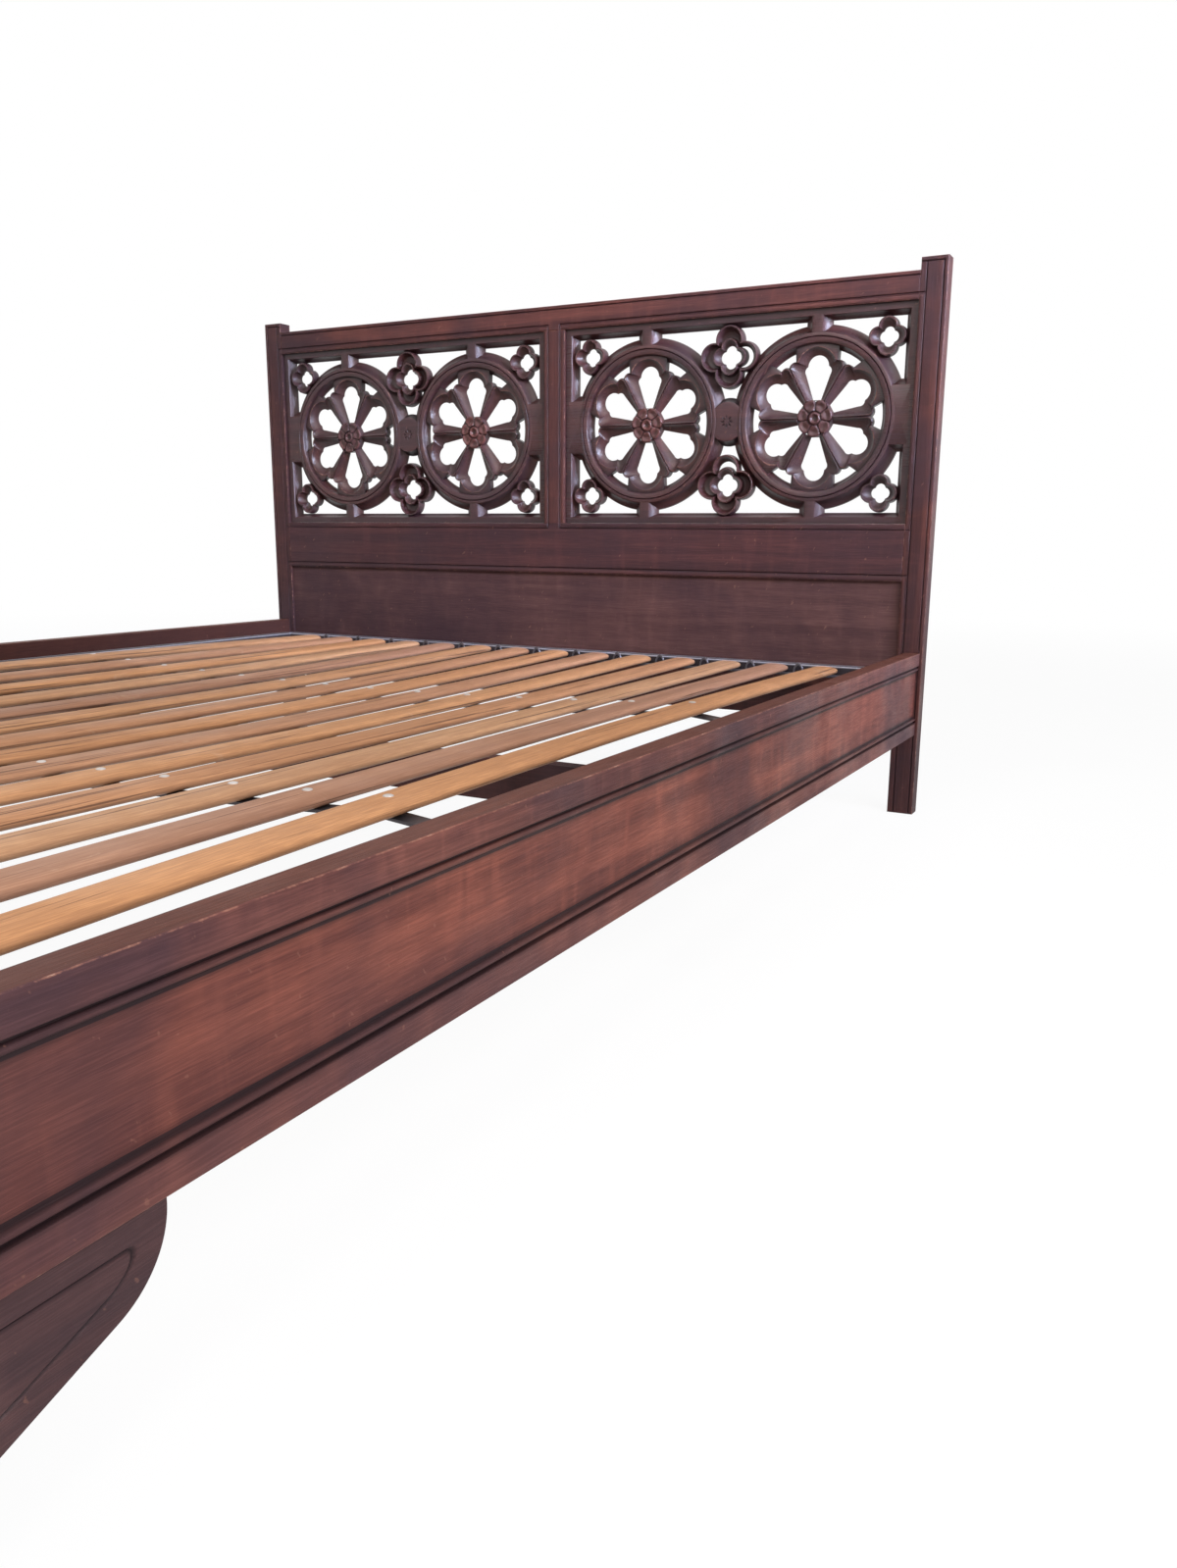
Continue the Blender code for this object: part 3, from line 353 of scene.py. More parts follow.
# The bracket's stain is darker and more violet than the rails': partly its own stain, partly painted
# shade of the rail above it.
BRACKET_STAIN_AND_SHADE = ((0.060, 0.030, 0.034, 1.0), (0.105, 0.047, 0.046, 1.0), FRAME_SMEAR)
RAIL_STAIN = ((0.135, 0.036, 0.026, 1.0), (0.345, 0.104, 0.066, 1.0), (0.085, 0.035, 0.038, 1.0))
BAND_STAIN = ((0.106, 0.033, 0.027, 1.0), (0.272, 0.095, 0.069, 1.0), (0.064, 0.033, 0.043, 1.0))
RAIL_POLISH, RAIL_DRIFT = {"sheen": 0.50, "gloss": 0.16}, 1.05

frame_x = stained_wood("stained wood across", "X", *FRAME_STAIN)
frame_z = stained_wood("stained wood upright", "Z", *FRAME_STAIN)
upright_wood = stained_wood("stained wood of the posts", "Z", *UPRIGHT_STAIN)
stretcher_wood = stained_wood("stained wood middle", "X", *STRETCHER_STAIN)
carving_wood = stained_wood("stained wood carved", "X", *CARVED_STAIN, sheen=0.30, gloss=0.42)
panel_wood = stained_wood("stained wood panel", "X", *PANEL_STAIN, sheen=0.55)
rosette_wood = stained_wood("rosette wood", "Z", *ROSETTE_STAIN, sheen=0.38, gloss=0.40)
bracket_wood = stained_wood("stained wood bracket", "Y", *BRACKET_STAIN_AND_SHADE)
rail_y = stained_wood("stained wood rail", "Y", *RAIL_STAIN, **RAIL_POLISH, drift=RAIL_DRIFT)
rail_x = stained_wood("stained wood foot rail", "X", *RAIL_STAIN, **RAIL_POLISH)
band_y = stained_wood("stained wood moulding", "Y", *BAND_STAIN, **RAIL_POLISH, drift=RAIL_DRIFT)
band_x = stained_wood("stained wood foot moulding", "X", *BAND_STAIN, **RAIL_POLISH)
print("stained finishes made")

# %% [markdown]
# Slat wood is bare, dry and pale. Each slat is cut from another plank, so a tone attribute, one
# value for each slat, shifts it between tan, orange and pinkish brown. Long drying cracks are thin
# dark lines along the grain. Fourteen materials would do the same with more to keep in step.

# %% Slat wood
TAN, ORANGE, PINKISH = (0.640, 0.385, 0.215, 1.0), (0.680, 0.345, 0.155, 1.0), (0.500, 0.275, 0.175, 1.0)
SLAT_LIGHTS = (TAN, ORANGE, PINKISH)
SLAT_DARKS = ((0.440, 0.250, 0.140, 1.0), (0.500, 0.240, 0.105, 1.0), (0.310, 0.165, 0.108, 1.0))
SLAT_CLOUD, SLAT_RUBBED = (0.330, 0.160, 0.085, 1.0), (0.760, 0.560, 0.400, 1.0)
SLAT_PORE, SLAT_CRACK = (0.190, 0.082, 0.042, 1.0), (0.085, 0.040, 0.025, 1.0)
SLAT_SHADE = (0.130, 0.060, 0.036, 1.0)
CRACK_SQUEEZE = (170.0, 1.6, 170.0)
SLAT_BUMP = 0.0003


def by_tone(tree, tone, colours):
    """Three colours on a scale: the first at tone 0, the second at a half, the third at 1."""
    first_half, second_half = stretch(tree, tone, 0.0, 0.5), stretch(tree, tone, 0.5, 1.0)
    return blend(tree, second_half, blend(tree, first_half, *colours[:2]), colours[2])


def slat_finish():
    """Pale bare wood: streaks, a shift of tone for each slat, and thin dark cracks."""
    material, tree, place, figure, _ = start_material("slat wood", "Y")
    tone = attribute(tree, "tone")
    dark, light = by_tone(tree, tone, SLAT_DARKS), by_tone(tree, tone, SLAT_LIGHTS)
    colour = blend(tree, figure["Streaks"], dark, light)
    colour = cover(tree, colour, figure["Clouds"], 0.25, SLAT_CLOUD)
    pale = stretch(tree, noise(tree, place, 14.0, 6.0, 0.7, 0.8), 0.62, 0.80, 0.0, 0.45)
    colour = blend(tree, pale, colour, SLAT_RUBBED)
    colour = cover(tree, colour, figure["Pores"], 0.40, SLAT_PORE)
    cracks = noise(tree, mapped(tree, place, "Scale", CRACK_SQUEEZE), 1.0, 3.0, 0.6, 0.3)
    cracks = stretch(tree, cracks, 0.615, 0.66)
    colour = cover(tree, colour, cracks, 0.75, SLAT_CRACK)
    # painted shade: the hollow attribute darkens the lower side of each slat, and its rounded ends
    colour = cover(tree, colour, attribute(tree, "hollow"), 0.6, SLAT_SHADE)
    rough = stretch(tree, figure["Clouds"], 0.0, 1.0, 0.50, 0.66)
    height = maths(tree, "SUBTRACT", figure["Streaks"], maths(tree, "MULTIPLY", cracks, 2.0))
    close_material(tree, colour, rough, height, SLAT_BUMP, Specular_IOR_Level=0.22)
    return material


slat_wood = slat_finish()
print(slat_wood.name)

# %% [markdown]
# The steel of the base is old painted and galvanised strip: a grey with a violet cast, cloudy,
# rubbed bright at its edges and stained brown in patches. Where the hollow attribute paints shade on
# it, it turns near black and is neither metallic nor smooth, so that mask also turns the metal down
# and the roughness up.

# %% Steel
STEEL_SHADE, STEEL_RUBBED = (0.022, 0.017, 0.020, 1.0), (0.55, 0.53, 0.56, 1.0)
STEEL_CLOUD, STEEL_BUMP = 0.70, 0.0002


def steel_finish(name, plain, stain, metallic):
    """Cloudy grey steel with brown stains and bright rubbed edges."""
    material, tree, place, figure, worn = start_material(name, "X")
    spots = stretch(tree, noise(tree, place, 60.0, 6.0, 0.7), 0.50, 0.74)
    colour = blend(tree, figure["Clouds"], plain, toned(plain, STEEL_CLOUD))
    colour = cover(tree, colour, spots, 0.55, stain)
    # painted shade: where the hollow attribute is high, the steel is painted near black as shade
    dirt = attribute(tree, "hollow")
    colour = blend(tree, dirt, colour, STEEL_SHADE)
    colour = cover(tree, colour, worn["Rubbed"], 0.6, STEEL_RUBBED)
    rough = stretch(tree, spots, 0.0, 1.0, 0.36, 0.56)
    rough = maths(tree, "ADD", rough, maths(tree, "MULTIPLY", dirt, 0.38))
    metal = stretch(tree, dirt, 0.0, 1.0, metallic, 0.0)
    close_material(tree, colour, rough, spots, STEEL_BUMP, Metallic=metal, Specular_IOR_Level=0.25)
    return material


grey_steel = steel_finish("grey steel", (0.40, 0.39, 0.44, 1.0), (0.16, 0.10, 0.075, 1.0), 0.35)
dark_iron = steel_finish("dark iron", (0.11, 0.10, 0.11, 1.0), (0.10, 0.05, 0.03, 1.0), 0.6)
rivet_steel = steel_finish("rivet steel", (0.62, 0.58, 0.55, 1.0), (0.30, 0.22, 0.17, 1.0), 0.2)
print(grey_steel.name, dark_iron.name, rivet_steel.name)

# %% [markdown]
# The headboard frame: two posts, three rails and a muntin. A line is scratched a finger's width
# outside every opening, so the strip between line and opening reads as a bead, and the lines meet
# in mitres. The distance to an opening counted by its larger share, sideways or upwards, gives such
# mitred lines for free. Two more lines follow the outer edges of the posts and the top.

# %% Scratched lines
BEAD_WIDTH, BEAD_FALL = 0.011, 0.0010
EDGE_LINE, LINE_DEPTH, LINE_HALF = 0.0075, 0.0020, 0.0018

POST_LOW, POST_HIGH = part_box("head_right_post")
POST_INNER, POST_OUTER, POST_TOP = POST_LOW.x, POST_HIGH.x, POST_HIGH.z
HEAD_FRONT = POST_LOW.y
HEAD_DEPTH = POST_HIGH.y - HEAD_FRONT
MUNTIN_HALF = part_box("head_muntin")[1].x
LEVELS = {name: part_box(f"head_{name}_rail") for name in ("top", "middle", "bottom")}
LEVELS = {name: (low.z, high.z) for name, (low, high) in LEVELS.items()}
OPENINGS = [
    (-POST_INNER, -MUNTIN_HALF, LEVELS["middle"][1], LEVELS["top"][0]),
    (MUNTIN_HALF, POST_INNER, LEVELS["middle"][1], LEVELS["top"][0]),
    (-POST_INNER, POST_INNER, LEVELS["bottom"][1], LEVELS["middle"][0]),
]


def scratched(distance):
    """Depth of a V-shaped line: full where the distance is nothing, none past half its width."""
    return LINE_DEPTH * np.clip(1.0 - np.abs(distance) / LINE_HALF, 0.0, 1.0)


def beyond(x, z, opening):
    """How far a point lies outside a rectangle, by the larger of its two distances."""
    left, right, low, high = opening
    aside = np.abs(x - (left + right) / 2) - (right - left) / 2
    above = np.abs(z - (low + high) / 2) - (high - low) / 2
    return np.maximum(aside, above)


def frame_relief(x, z):
    """Depth of all lines and bead roundings on the headboard's face: the deepest one counts."""
    depth = np.zeros_like(x)
    middle = (BEAD_WIDTH - LINE_HALF) / 2
    for opening in OPENINGS:
        out = beyond(x, z, opening)
        depth = np.maximum(depth, scratched(out - BEAD_WIDTH))
        rounding = BEAD_FALL * ((out - middle) / middle) ** 2
        depth = np.where((out > -WELD) & (out < 2 * middle), np.maximum(depth, rounding), depth)
    aside = np.abs(x)
    post = np.abs(aside - (POST_INNER + POST_OUTER) / 2) - (POST_OUTER - POST_INNER) / 2
    outer_line = scratched(np.maximum(aside - POST_OUTER, z - POST_TOP) + EDGE_LINE)
    inner_line = scratched(aside - POST_INNER - BEAD_WIDTH)
    inner_line = np.where(z < POST_TOP - EDGE_LINE, inner_line, 0.0)
    on_post = np.where(post < WELD, np.maximum(outer_line, inner_line), 0.0)
    top_line = scratched(z - LEVELS["top"][1] + EDGE_LINE)
    on_rail = np.where(aside < POST_INNER + WELD, top_line, 0.0)
    return np.maximum(depth, np.maximum(on_post, on_rail))


print("openings", np.round(OPENINGS, 4).tolist())

# %% [markdown]
# A board is a front grid and a back grid joined by a ring of walls. Grid lines only stand where
# something happens: at both sides of each scratched line, over the bead, and at the eased edges.
# An even, fine grid would show the same lines with a hundred times the faces.

# %% Boards with a carved face
EASE, WEAR_REACH = 0.0012, 0.0035
EDGE_STEPS = np.array([0.0, EASE, 0.0035, 0.007, 0.012])
BOARD_STEPS, LEAST_STEP = 9, 1e-4
WALL_INSET = 0.008


def seen_from_foot(front):
    """Places a face that looks to the foot: across is X, up is Z, depth goes back along Y."""
    return lambda across, up, depth: np.stack(np.broadcast_arrays(across, front + depth, up), -1)


def board_lines(low, high, marks=()):
    """Sorted grid lines from low to high: the eased edges, the wear beside them, and the marks."""
    inside = np.array([mark for mark in marks if low + EASE < mark < high - EASE])
    even = np.linspace(low, high, BOARD_STEPS)
    lines = np.concatenate([low + EDGE_STEPS, high - EDGE_STEPS, even, inside])
    lines = np.unique(np.round(lines[(lines >= low) & (lines <= high)], 5))
    return lines[np.concatenate([[True], np.diff(lines) > LEAST_STEP])]


def carved_board(place, across, up, thickness, relief):
    """A closed board: a face pushed in by relief(across, up), the same grid a thickness behind,
    and walls of three bands between their rims, which are eased at both faces."""
    a, u = np.meshgrid(across, up)
    edge = np.minimum(np.minimum(a - a.min(), a.max() - a), np.minimum(u - u.min(), u.max() - u))
    eased = np.where(edge < EASE / 2, EASE, 0.0)
    cut = relief(a, u)
    points = [place(a, u, np.maximum(cut, eased)), place(a, u, thickness - eased)]
    count = a.size
    numbers = np.arange(count).reshape(a.shape)
    rim = [numbers[0, :-1], numbers[:-1, -1], numbers[-1, :0:-1], numbers[:0:-1, 0]]
    rim = np.concatenate(rim)
    inset = min(WALL_INSET, thickness / 3)
    points.append(place(a.ravel()[rim], u.ravel()[rim], np.array([[inset], [thickness - inset]])))
    front_ring = 2 * count + np.arange(rim.size)
    rings = np.stack([rim, front_ring, front_ring + rim.size, rim + count])
    following = np.roll(rings, -1, axis=1)
    walls = np.stack([rings[:-1], following[:-1], following[1:], rings[1:]], axis=-1).reshape(-1, 4)
    quads = grid_faces(*a.shape)
    wall_worn = np.full(2 * rim.size, math.exp(-inset / WEAR_REACH))
    worn = np.concatenate([np.tile(np.exp(-edge / WEAR_REACH).ravel(), 2), wall_worn])
    hollow = np.clip(cut / LINE_DEPTH, 0.0, 1.0).ravel()
    hollow = np.concatenate([hollow, np.zeros(count + 2 * rim.size)])
    faces = np.concatenate([quads, quads + count, walls])
    return np.concatenate([part.reshape(-1, 3) for part in points]), faces, worn, hollow


print("a plain board 1 m long has", len(board_lines(0.0, 1.0)), "grid lines across it")

# %% [markdown]
# Now the six members of the headboard frame. Each is as large as its CAD member shows between the
# joints, without the hidden tenons. The lines could be cut into each board by itself, but all boards
# read them from the same relief, so that they meet at the joints.

# %% Headboard frame
AROUND_LINE = LINE_HALF * np.array([-1.0, -0.5, 0.0, 0.5, 1.0])
OVER_BEAD = np.array([0.0012, 0.0030, 0.0047, 0.0064, 0.0082])


def marks_beside(edges):
    """Grid lines beside opening edges: over the bead and around its line, on both sides."""
    out = np.concatenate([OVER_BEAD, BEAD_WIDTH + AROUND_LINE, [0.0]])
    return np.concatenate([[edge - out, edge + out] for edge in edges]).ravel()


x_marks = marks_beside([-POST_INNER, -MUNTIN_HALF, MUNTIN_HALF, POST_INNER])
outer_marks = POST_OUTER - EDGE_LINE + AROUND_LINE
x_marks = np.concatenate([x_marks, outer_marks, -outer_marks])
z_marks = marks_beside([LEVELS["bottom"][1], *LEVELS["middle"], LEVELS["top"][0]])
top_marks = [POST_TOP - EDGE_LINE + AROUND_LINE, LEVELS["top"][1] - EDGE_LINE + AROUND_LINE]
z_marks = np.concatenate([z_marks, *top_marks])
head_face = seen_from_foot(HEAD_FRONT)
MEMBERS = {
    "head_left_post": (-POST_OUTER, -POST_INNER, 0.0, POST_TOP, upright_wood),
    "head_right_post": (POST_INNER, POST_OUTER, 0.0, POST_TOP, upright_wood),
    "head_top_rail": (-POST_INNER, POST_INNER, *LEVELS["top"], frame_x),
    "head_middle_rail": (-POST_INNER, POST_INNER, *LEVELS["middle"], stretcher_wood),
    "head_bottom_rail": (-POST_INNER, POST_INNER, *LEVELS["bottom"], frame_x),
    "head_muntin": (-MUNTIN_HALF, MUNTIN_HALF, LEVELS["middle"][1], LEVELS["top"][0], upright_wood),
}
for node, (left, right, low, high, wood) in MEMBERS.items():
    across, up = board_lines(left, right, x_marks), board_lines(low, high, z_marks)
    skin = carved_board(head_face, across, up, HEAD_DEPTH, frame_relief)
    piece(node.replace("head_", "headboard_"), [skin], wood, "bedstead", [node])

# %% [markdown]
# The tracery boards are the heart of this bed. Each holds two roses of six petals, and every edge
# of the openwork is cut as a hollow: a quarter hollow that drops steeply from a sharp arris and
# runs out flat towards the opening. A carver works from the front in the same way. A single height
# map could not show walls this steep, so each form is a closed skin of its own made from rows of
# closed curves, and the skins run into each other as the wood does.

# %% Curves for carving
BOARD_DEPTH, SETBACK = 0.021, 0.007
BOARD_PLACE = seen_from_foot(HEAD_FRONT + SETBACK)


def polar(radius, angle):
    """Points at this radius and angle about the middle."""
    return np.stack(np.broadcast_arrays(radius * np.cos(angle), radius * np.sin(angle)), -1)


def once_round(count):
    """Equal angles once round, without the last, which is the first again."""
    return np.linspace(0.0, 2 * math.pi, count, endpoint=False)


def arc(centre, radius, start, end, count, last=False):
    """Points on a circle from one angle to another, in degrees, with or without the last one."""
    angles = np.radians(np.linspace(start, end, count, endpoint=last))
    return np.asarray(centre, float) + polar(radius, angles)


def line(start, end, count, bulge=0.0):
    """Points from start towards end, pushed aside in the middle by the bulge."""
    start, end = np.asarray(start, float), np.asarray(end, float)
    share = np.linspace(0.0, 1.0, count, endpoint=False)[:, None]
    run = end - start
    aside = np.array([-run[1], run[0]]) / np.hypot(*run)
    return start + run * share + aside * bulge * 4 * share * (1 - share)


def both_sides(half):
    """A closed curve from its upper half, which starts and ends on the axis."""
    return np.concatenate([half, (half * (1, -1))[-2:0:-1]])


def turned_rows(rows, angle):
    """Rows of flat points turned about the middle."""
    cos, sin = math.cos(angle), math.sin(angle)
    return rows @ np.array([[cos, sin], [-sin, cos]])


def hollow_share(count):
    """Shares of the way in and of the way down a cut edge: half a straight slope, half a quarter
    hollow (one minus a cosine in, a sine down), so the wall starts steep and runs out flatter."""
    turn = np.linspace(0.0, math.pi / 2, count)
    straight = np.linspace(0.0, 1.0, count)
    return (1 - np.cos(turn) + straight) / 2, (np.sin(turn) + straight) / 2


def hollow_rows(outer, inner, front, back, count=10):
    """Rows of curves down a cut edge, from the arris curve in front to the opening curve behind."""
    inward, down = hollow_share(count)
    return outer + (inner - outer) * inward[:, None, None], front + (back - front) * down


def carved(rows, depths, wear, dirt, at=(0.0, 0.0), wrap_rows=True):
    """A skin from rows of flat closed curves, each at its own depth, moved to a place."""
    depths = by_row(depths, rows.shape[:2])
    points = BOARD_PLACE(rows[..., 0] + at[0], rows[..., 1] + at[1], depths)
    return shell(points, wear, dirt, wrap_rows)


print("ways in and down a cut edge", np.round(hollow_share(4), 2).tolist())

# %% [markdown]
# One petal cell is a sixth of the sunk rose, and it needs three outlines. The outer one follows the
# two spokes, goes round half of the small piercing at each spoke's end, and lies inside the moulded
# ring along the rim. Next come the arris of the trefoil-headed petal and its drop-shaped opening.
# All three have the same number of points, so that rows can run from one to the next.

# %% Petal outlines
PETALS = 6
HALF_CELL = math.pi / PETALS
HUB, SPOKE_REACH = 0.033, 0.104
ARRIS_FROM_HUB, TIP_FROM_HUB, TIP_HALF = 0.003, 0.001, 0.0078
RIDGE_IN, RIDGE_OUT = 0.0010, 0.0026
LOBE_CENTRE, LOBE_RADIUS, CUSP = 0.089, 0.0392, 70.0
BAND = 0.0042
IN_RING, MEETS_RING, RING_STEPS = 0.1375, 18.0, 5
SHOULDER = np.array([0.0800, 0.0238])
NECK_CENTRE, NECK_RADIUS, NECK_CUSP, CUSP_ASIDE = 0.0945, 0.0202, 88.0, 0.0005
RIM_BULGE, ARRIS_BULGE, NECK_BULGE = 0.0030, 0.0050, 0.0036
HUB_COUNT, SPOKE_COUNT, FOIL_COUNT, HEAD_COUNT = 5, 26, 12, 18


def cell_outline():
    """Half of a cell's rim: hub arc, spoke, one side of the piercing at the spoke's end, and then
    an arc hidden inside the ring."""
    spoke_end = polar(SPOKE_REACH + BAND, HALF_CELL)
    shoulder = np.array([LOBE_CENTRE, 0.0]) + polar(LOBE_RADIUS + BAND, math.radians(CUSP))
    meets = polar(IN_RING, math.radians(MEETS_RING))
    return np.concatenate([
        arc((0, 0), HUB, 0.0, math.degrees(HALF_CELL), HUB_COUNT),
        line(polar(HUB, HALF_CELL), spoke_end, SPOKE_COUNT),
        line(spoke_end, shoulder, FOIL_COUNT, RIM_BULGE),
        line(shoulder, meets, RING_STEPS),
        arc((0, 0), IN_RING, MEETS_RING, 0.0, HEAD_COUNT - RING_STEPS, True),
    ])


def petal_arris():
    """Half of a petal's front edge: beside the spoke, a side foil up to the cusp, the head."""
    along = np.array([math.cos(HALF_CELL), math.sin(HALF_CELL)])
    aside = np.array([along[1], -along[0]])
    start = along * (HUB + ARRIS_FROM_HUB) + aside * RIDGE_IN
    end = along * SPOKE_REACH + aside * RIDGE_OUT
    cusp = np.array([LOBE_CENTRE, 0.0]) + polar(LOBE_RADIUS, math.radians(CUSP))
    return np.concatenate([
        line((start[0], 0.0), start, HUB_COUNT),
        line(start, end, SPOKE_COUNT),
        line(end, cusp, FOIL_COUNT, ARRIS_BULGE),
        arc((LOBE_CENTRE, 0.0), LOBE_RADIUS, CUSP, 0.0, HEAD_COUNT, True),
    ])


def petal_opening(grow=0.0):
    """Half of the opening's neck: a straight side, a side foil, a cusp and a round head. Behind the
    neck the opening grows again a little."""
    tip = (HUB + TIP_FROM_HUB, TIP_HALF + grow / 2)
    shoulder = SHOULDER + (0.0, grow)
    cusp = (NECK_CENTRE + CUSP_ASIDE, NECK_RADIUS + grow)
    return np.concatenate([
        line((tip[0], 0.0), tip, HUB_COUNT),
        line(tip, shoulder, SPOKE_COUNT),
        line(shoulder, cusp, FOIL_COUNT, NECK_BULGE),
        arc((NECK_CENTRE, 0.0), NECK_RADIUS + grow, NECK_CUSP, 0.0, HEAD_COUNT, True),
    ])


print("half outlines of", len(cell_outline()), len(petal_arris()), len(petal_opening()), "points")

# %% [markdown]
# The rows of a cell step from its rim to the arris, down the hollow to the opening, and over the
# back again. Six turned copies share their spokes, so welding makes them one rose. An array modifier
# could turn them as well, but the points are at hand already.

# %% Petal cells
SUNK, RIDGE_CUT = 0.0052, 0.0020
NECK_DEPTH, NECK_EDGE = 0.0180, 0.001


def petal_cell():
    """Rows, depths, wear and dirt of one cell, and which columns of its rim lie on a spoke. The
    dirt paints shade on the walls just below the arris.
    """
    curves = [cell_outline(), petal_arris(), petal_opening(), petal_opening(NECK_EDGE)]
    rim, arris, neck, behind = [both_sides(half) for half in curves]
    hollow, depths = hollow_rows(arris, neck, SUNK, NECK_DEPTH)
    rows = np.concatenate([[rim, arris + 0.25 * (rim - arris)], hollow, [neck, behind, rim]])
    front, back = [SUNK + RIDGE_CUT, SUNK], [NECK_DEPTH + NECK_EDGE, BOARD_DEPTH, BOARD_DEPTH]
    depths = np.concatenate([front, depths, back])
    wear = np.concatenate([[0.0, 0.6, 1.0], np.linspace(0.3, 0.0, 9), [0.4, 0.0, 0.0]])
    # painted shade: the walls are painted darker just below the arris
    shade_below_arris = [0.50, 0.40, 0.22, 0.10, 0.06, 0.06, 0.10, 0.15, 0.20]
    dirt = np.concatenate([[1.0, 0.1, 0.0], shade_below_arris, [0.2, 0.5, 0.3]])
    half = np.zeros(HUB_COUNT + SPOKE_COUNT + FOIL_COUNT + HEAD_COUNT, bool)
    half[HUB_COUNT : HUB_COUNT + SPOKE_COUNT] = True
    return rows, depths, wear, dirt, np.concatenate([half, np.roll(half[::-1], -1)[1:-1]])


def rose(centre):
    """Six turned petal cells; the rim columns that aren't spokes get a wall to the back."""
    rows, depths, wear, dirt, spoke = petal_cell()
    count = rows.shape[1]
    first = np.flatnonzero(~(spoke & np.roll(spoke, -1)))
    following = (first + 1) % count
    last = (len(rows) - 1) * count
    walls = np.stack([first, following, following + last, first + last], axis=-1)
    cells = []
    for i in range(PETALS):
        turned = turned_rows(rows, math.pi / 2 + 2 * HALF_CELL * i)
        points, faces, worn, dirty = carved(turned, depths, wear, dirt, centre, False)
        cells.append((points, np.concatenate([faces, walls]), worn, dirty))
    return cells


print("petal cell", petal_cell()[0].shape)

# %% [markdown]
# Round the rose runs a moulded ring: a hollow rising from the sunk ground, a flat with a scratched
# line in it, and a wide hollow falling outside. A ring is a section turned about the middle, as on
# a lathe, and a section that closes on itself makes a closed skin. The hub is turned in the same way.

# %% Rings and hubs
AROUND, HUB_AROUND = 144, 48
RING_NECK, RING_RIM, HOLLOW_DEPTH = 0.1275, 0.170, 0.0165
INNER_ARRIS, OUTER_ARRIS, OUTER_FOOT, ARRIS_DEPTH = 0.1362, 0.1540, 0.1690, 0.0006
RING_FLAT = [(0.1370, 0.0), (0.1452, 0.0), (0.1466, 0.0024), (0.1480, 0.0), (0.1530, 0.0)]
HUB_FACE, HUB_SIDE, HUB_FALL = 0.0290, 0.0310, 0.0135
ROSETTE_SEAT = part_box("left_board_left_rosette")[1].y - HEAD_FRONT - SETBACK


def lathe(section, centre, wear, dirt, count=AROUND, wrap_rows=True):
    """A section of (radius, depth) points turned once about a centre."""
    rows = polar(section[:, :1], once_round(count)[None, :])
    return carved(rows, section[:, 1], wear, dirt, centre, wrap_rows)


def hollow_section(start, end, count=7):
    """A cut edge between two (radius, depth) points, steep at the start."""
    start, end = np.asarray(start, float), np.asarray(end, float)
    return start + (end - start) * np.stack(hollow_share(count), axis=-1)


def moulded_ring(centre):
    """The ring round a rose: inner hollow, flat with a line, and the outer hollow."""
    inner = hollow_section((INNER_ARRIS, ARRIS_DEPTH), (RING_NECK, HOLLOW_DEPTH))[::-1]
    outer = hollow_section((OUTER_ARRIS, ARRIS_DEPTH), (OUTER_FOOT, HOLLOW_DEPTH))
    back = [[(RING_NECK, BOARD_DEPTH)], [(RING_RIM, BOARD_DEPTH)]]
    section = np.concatenate([back[0], inner, RING_FLAT, outer, back[1]])
    rising, falling = np.linspace(0.0, 0.9, 7), np.linspace(0.9, 0.0, 7)
    wear = np.concatenate([[0.0], rising, [0.7, 0.2, 0.0, 0.2, 0.6], falling, [0.0]])
    # painted shade: both hollows are painted darker just below their arrises
    shade_below_arris = np.array([0.06, 0.06, 0.10, 0.22, 0.40, 0.55, 0.10])
    dirt = np.concatenate([[0.4], shade_below_arris, [0.0, 0.0, 1.0, 0.0, 0.0], shade_below_arris[::-1], [0.4]])
    return lathe(section, centre, wear, dirt)


def hub(centre):
    """The plain boss of wood behind a rosette."""
    section = [(0.0, ROSETTE_SEAT), (HUB_FACE, ROSETTE_SEAT), (HUB_SIDE, HUB_FALL)]
    section = np.array(section + [(HUB_SIDE, BOARD_DEPTH), (0.0, BOARD_DEPTH)])
    wear, dirt = [0.0, 0.5, 0.1, 0.0, 0.0], [0.5, 0.3, 0.4, 0.4, 0.4]
    return lathe(section, centre, wear, dirt, HUB_AROUND, False)


print("a rosette's seat lies", round(ROSETTE_SEAT, 4), "m behind the board's face")

# %% [markdown]
# Two roses meet in a plain disc with a small star cut into it. The star could be a boolean cut, but
# on a polar grid it is only a depth: each ray is a notch with its own taper.

# %% Bridge between two roses
STAR_RAYS, STAR_CUT, STAR_HALF_WIDTH = 8, 0.0022, 0.0016
STAR_NEAR, STAR_REACH = 0.0035, 0.0135
BRIDGE_AROUND, BRIDGE_EDGE, BRIDGE_RIM, BRIDGE_FALL = 192, 0.0372, 0.046, 0.0160
BRIDGE_RADII = np.concatenate([np.linspace(0.0, 0.014, 29), [0.022, 0.030, 0.036]])
UNDER, SOFT_EDGE = 0.0004, 0.0005


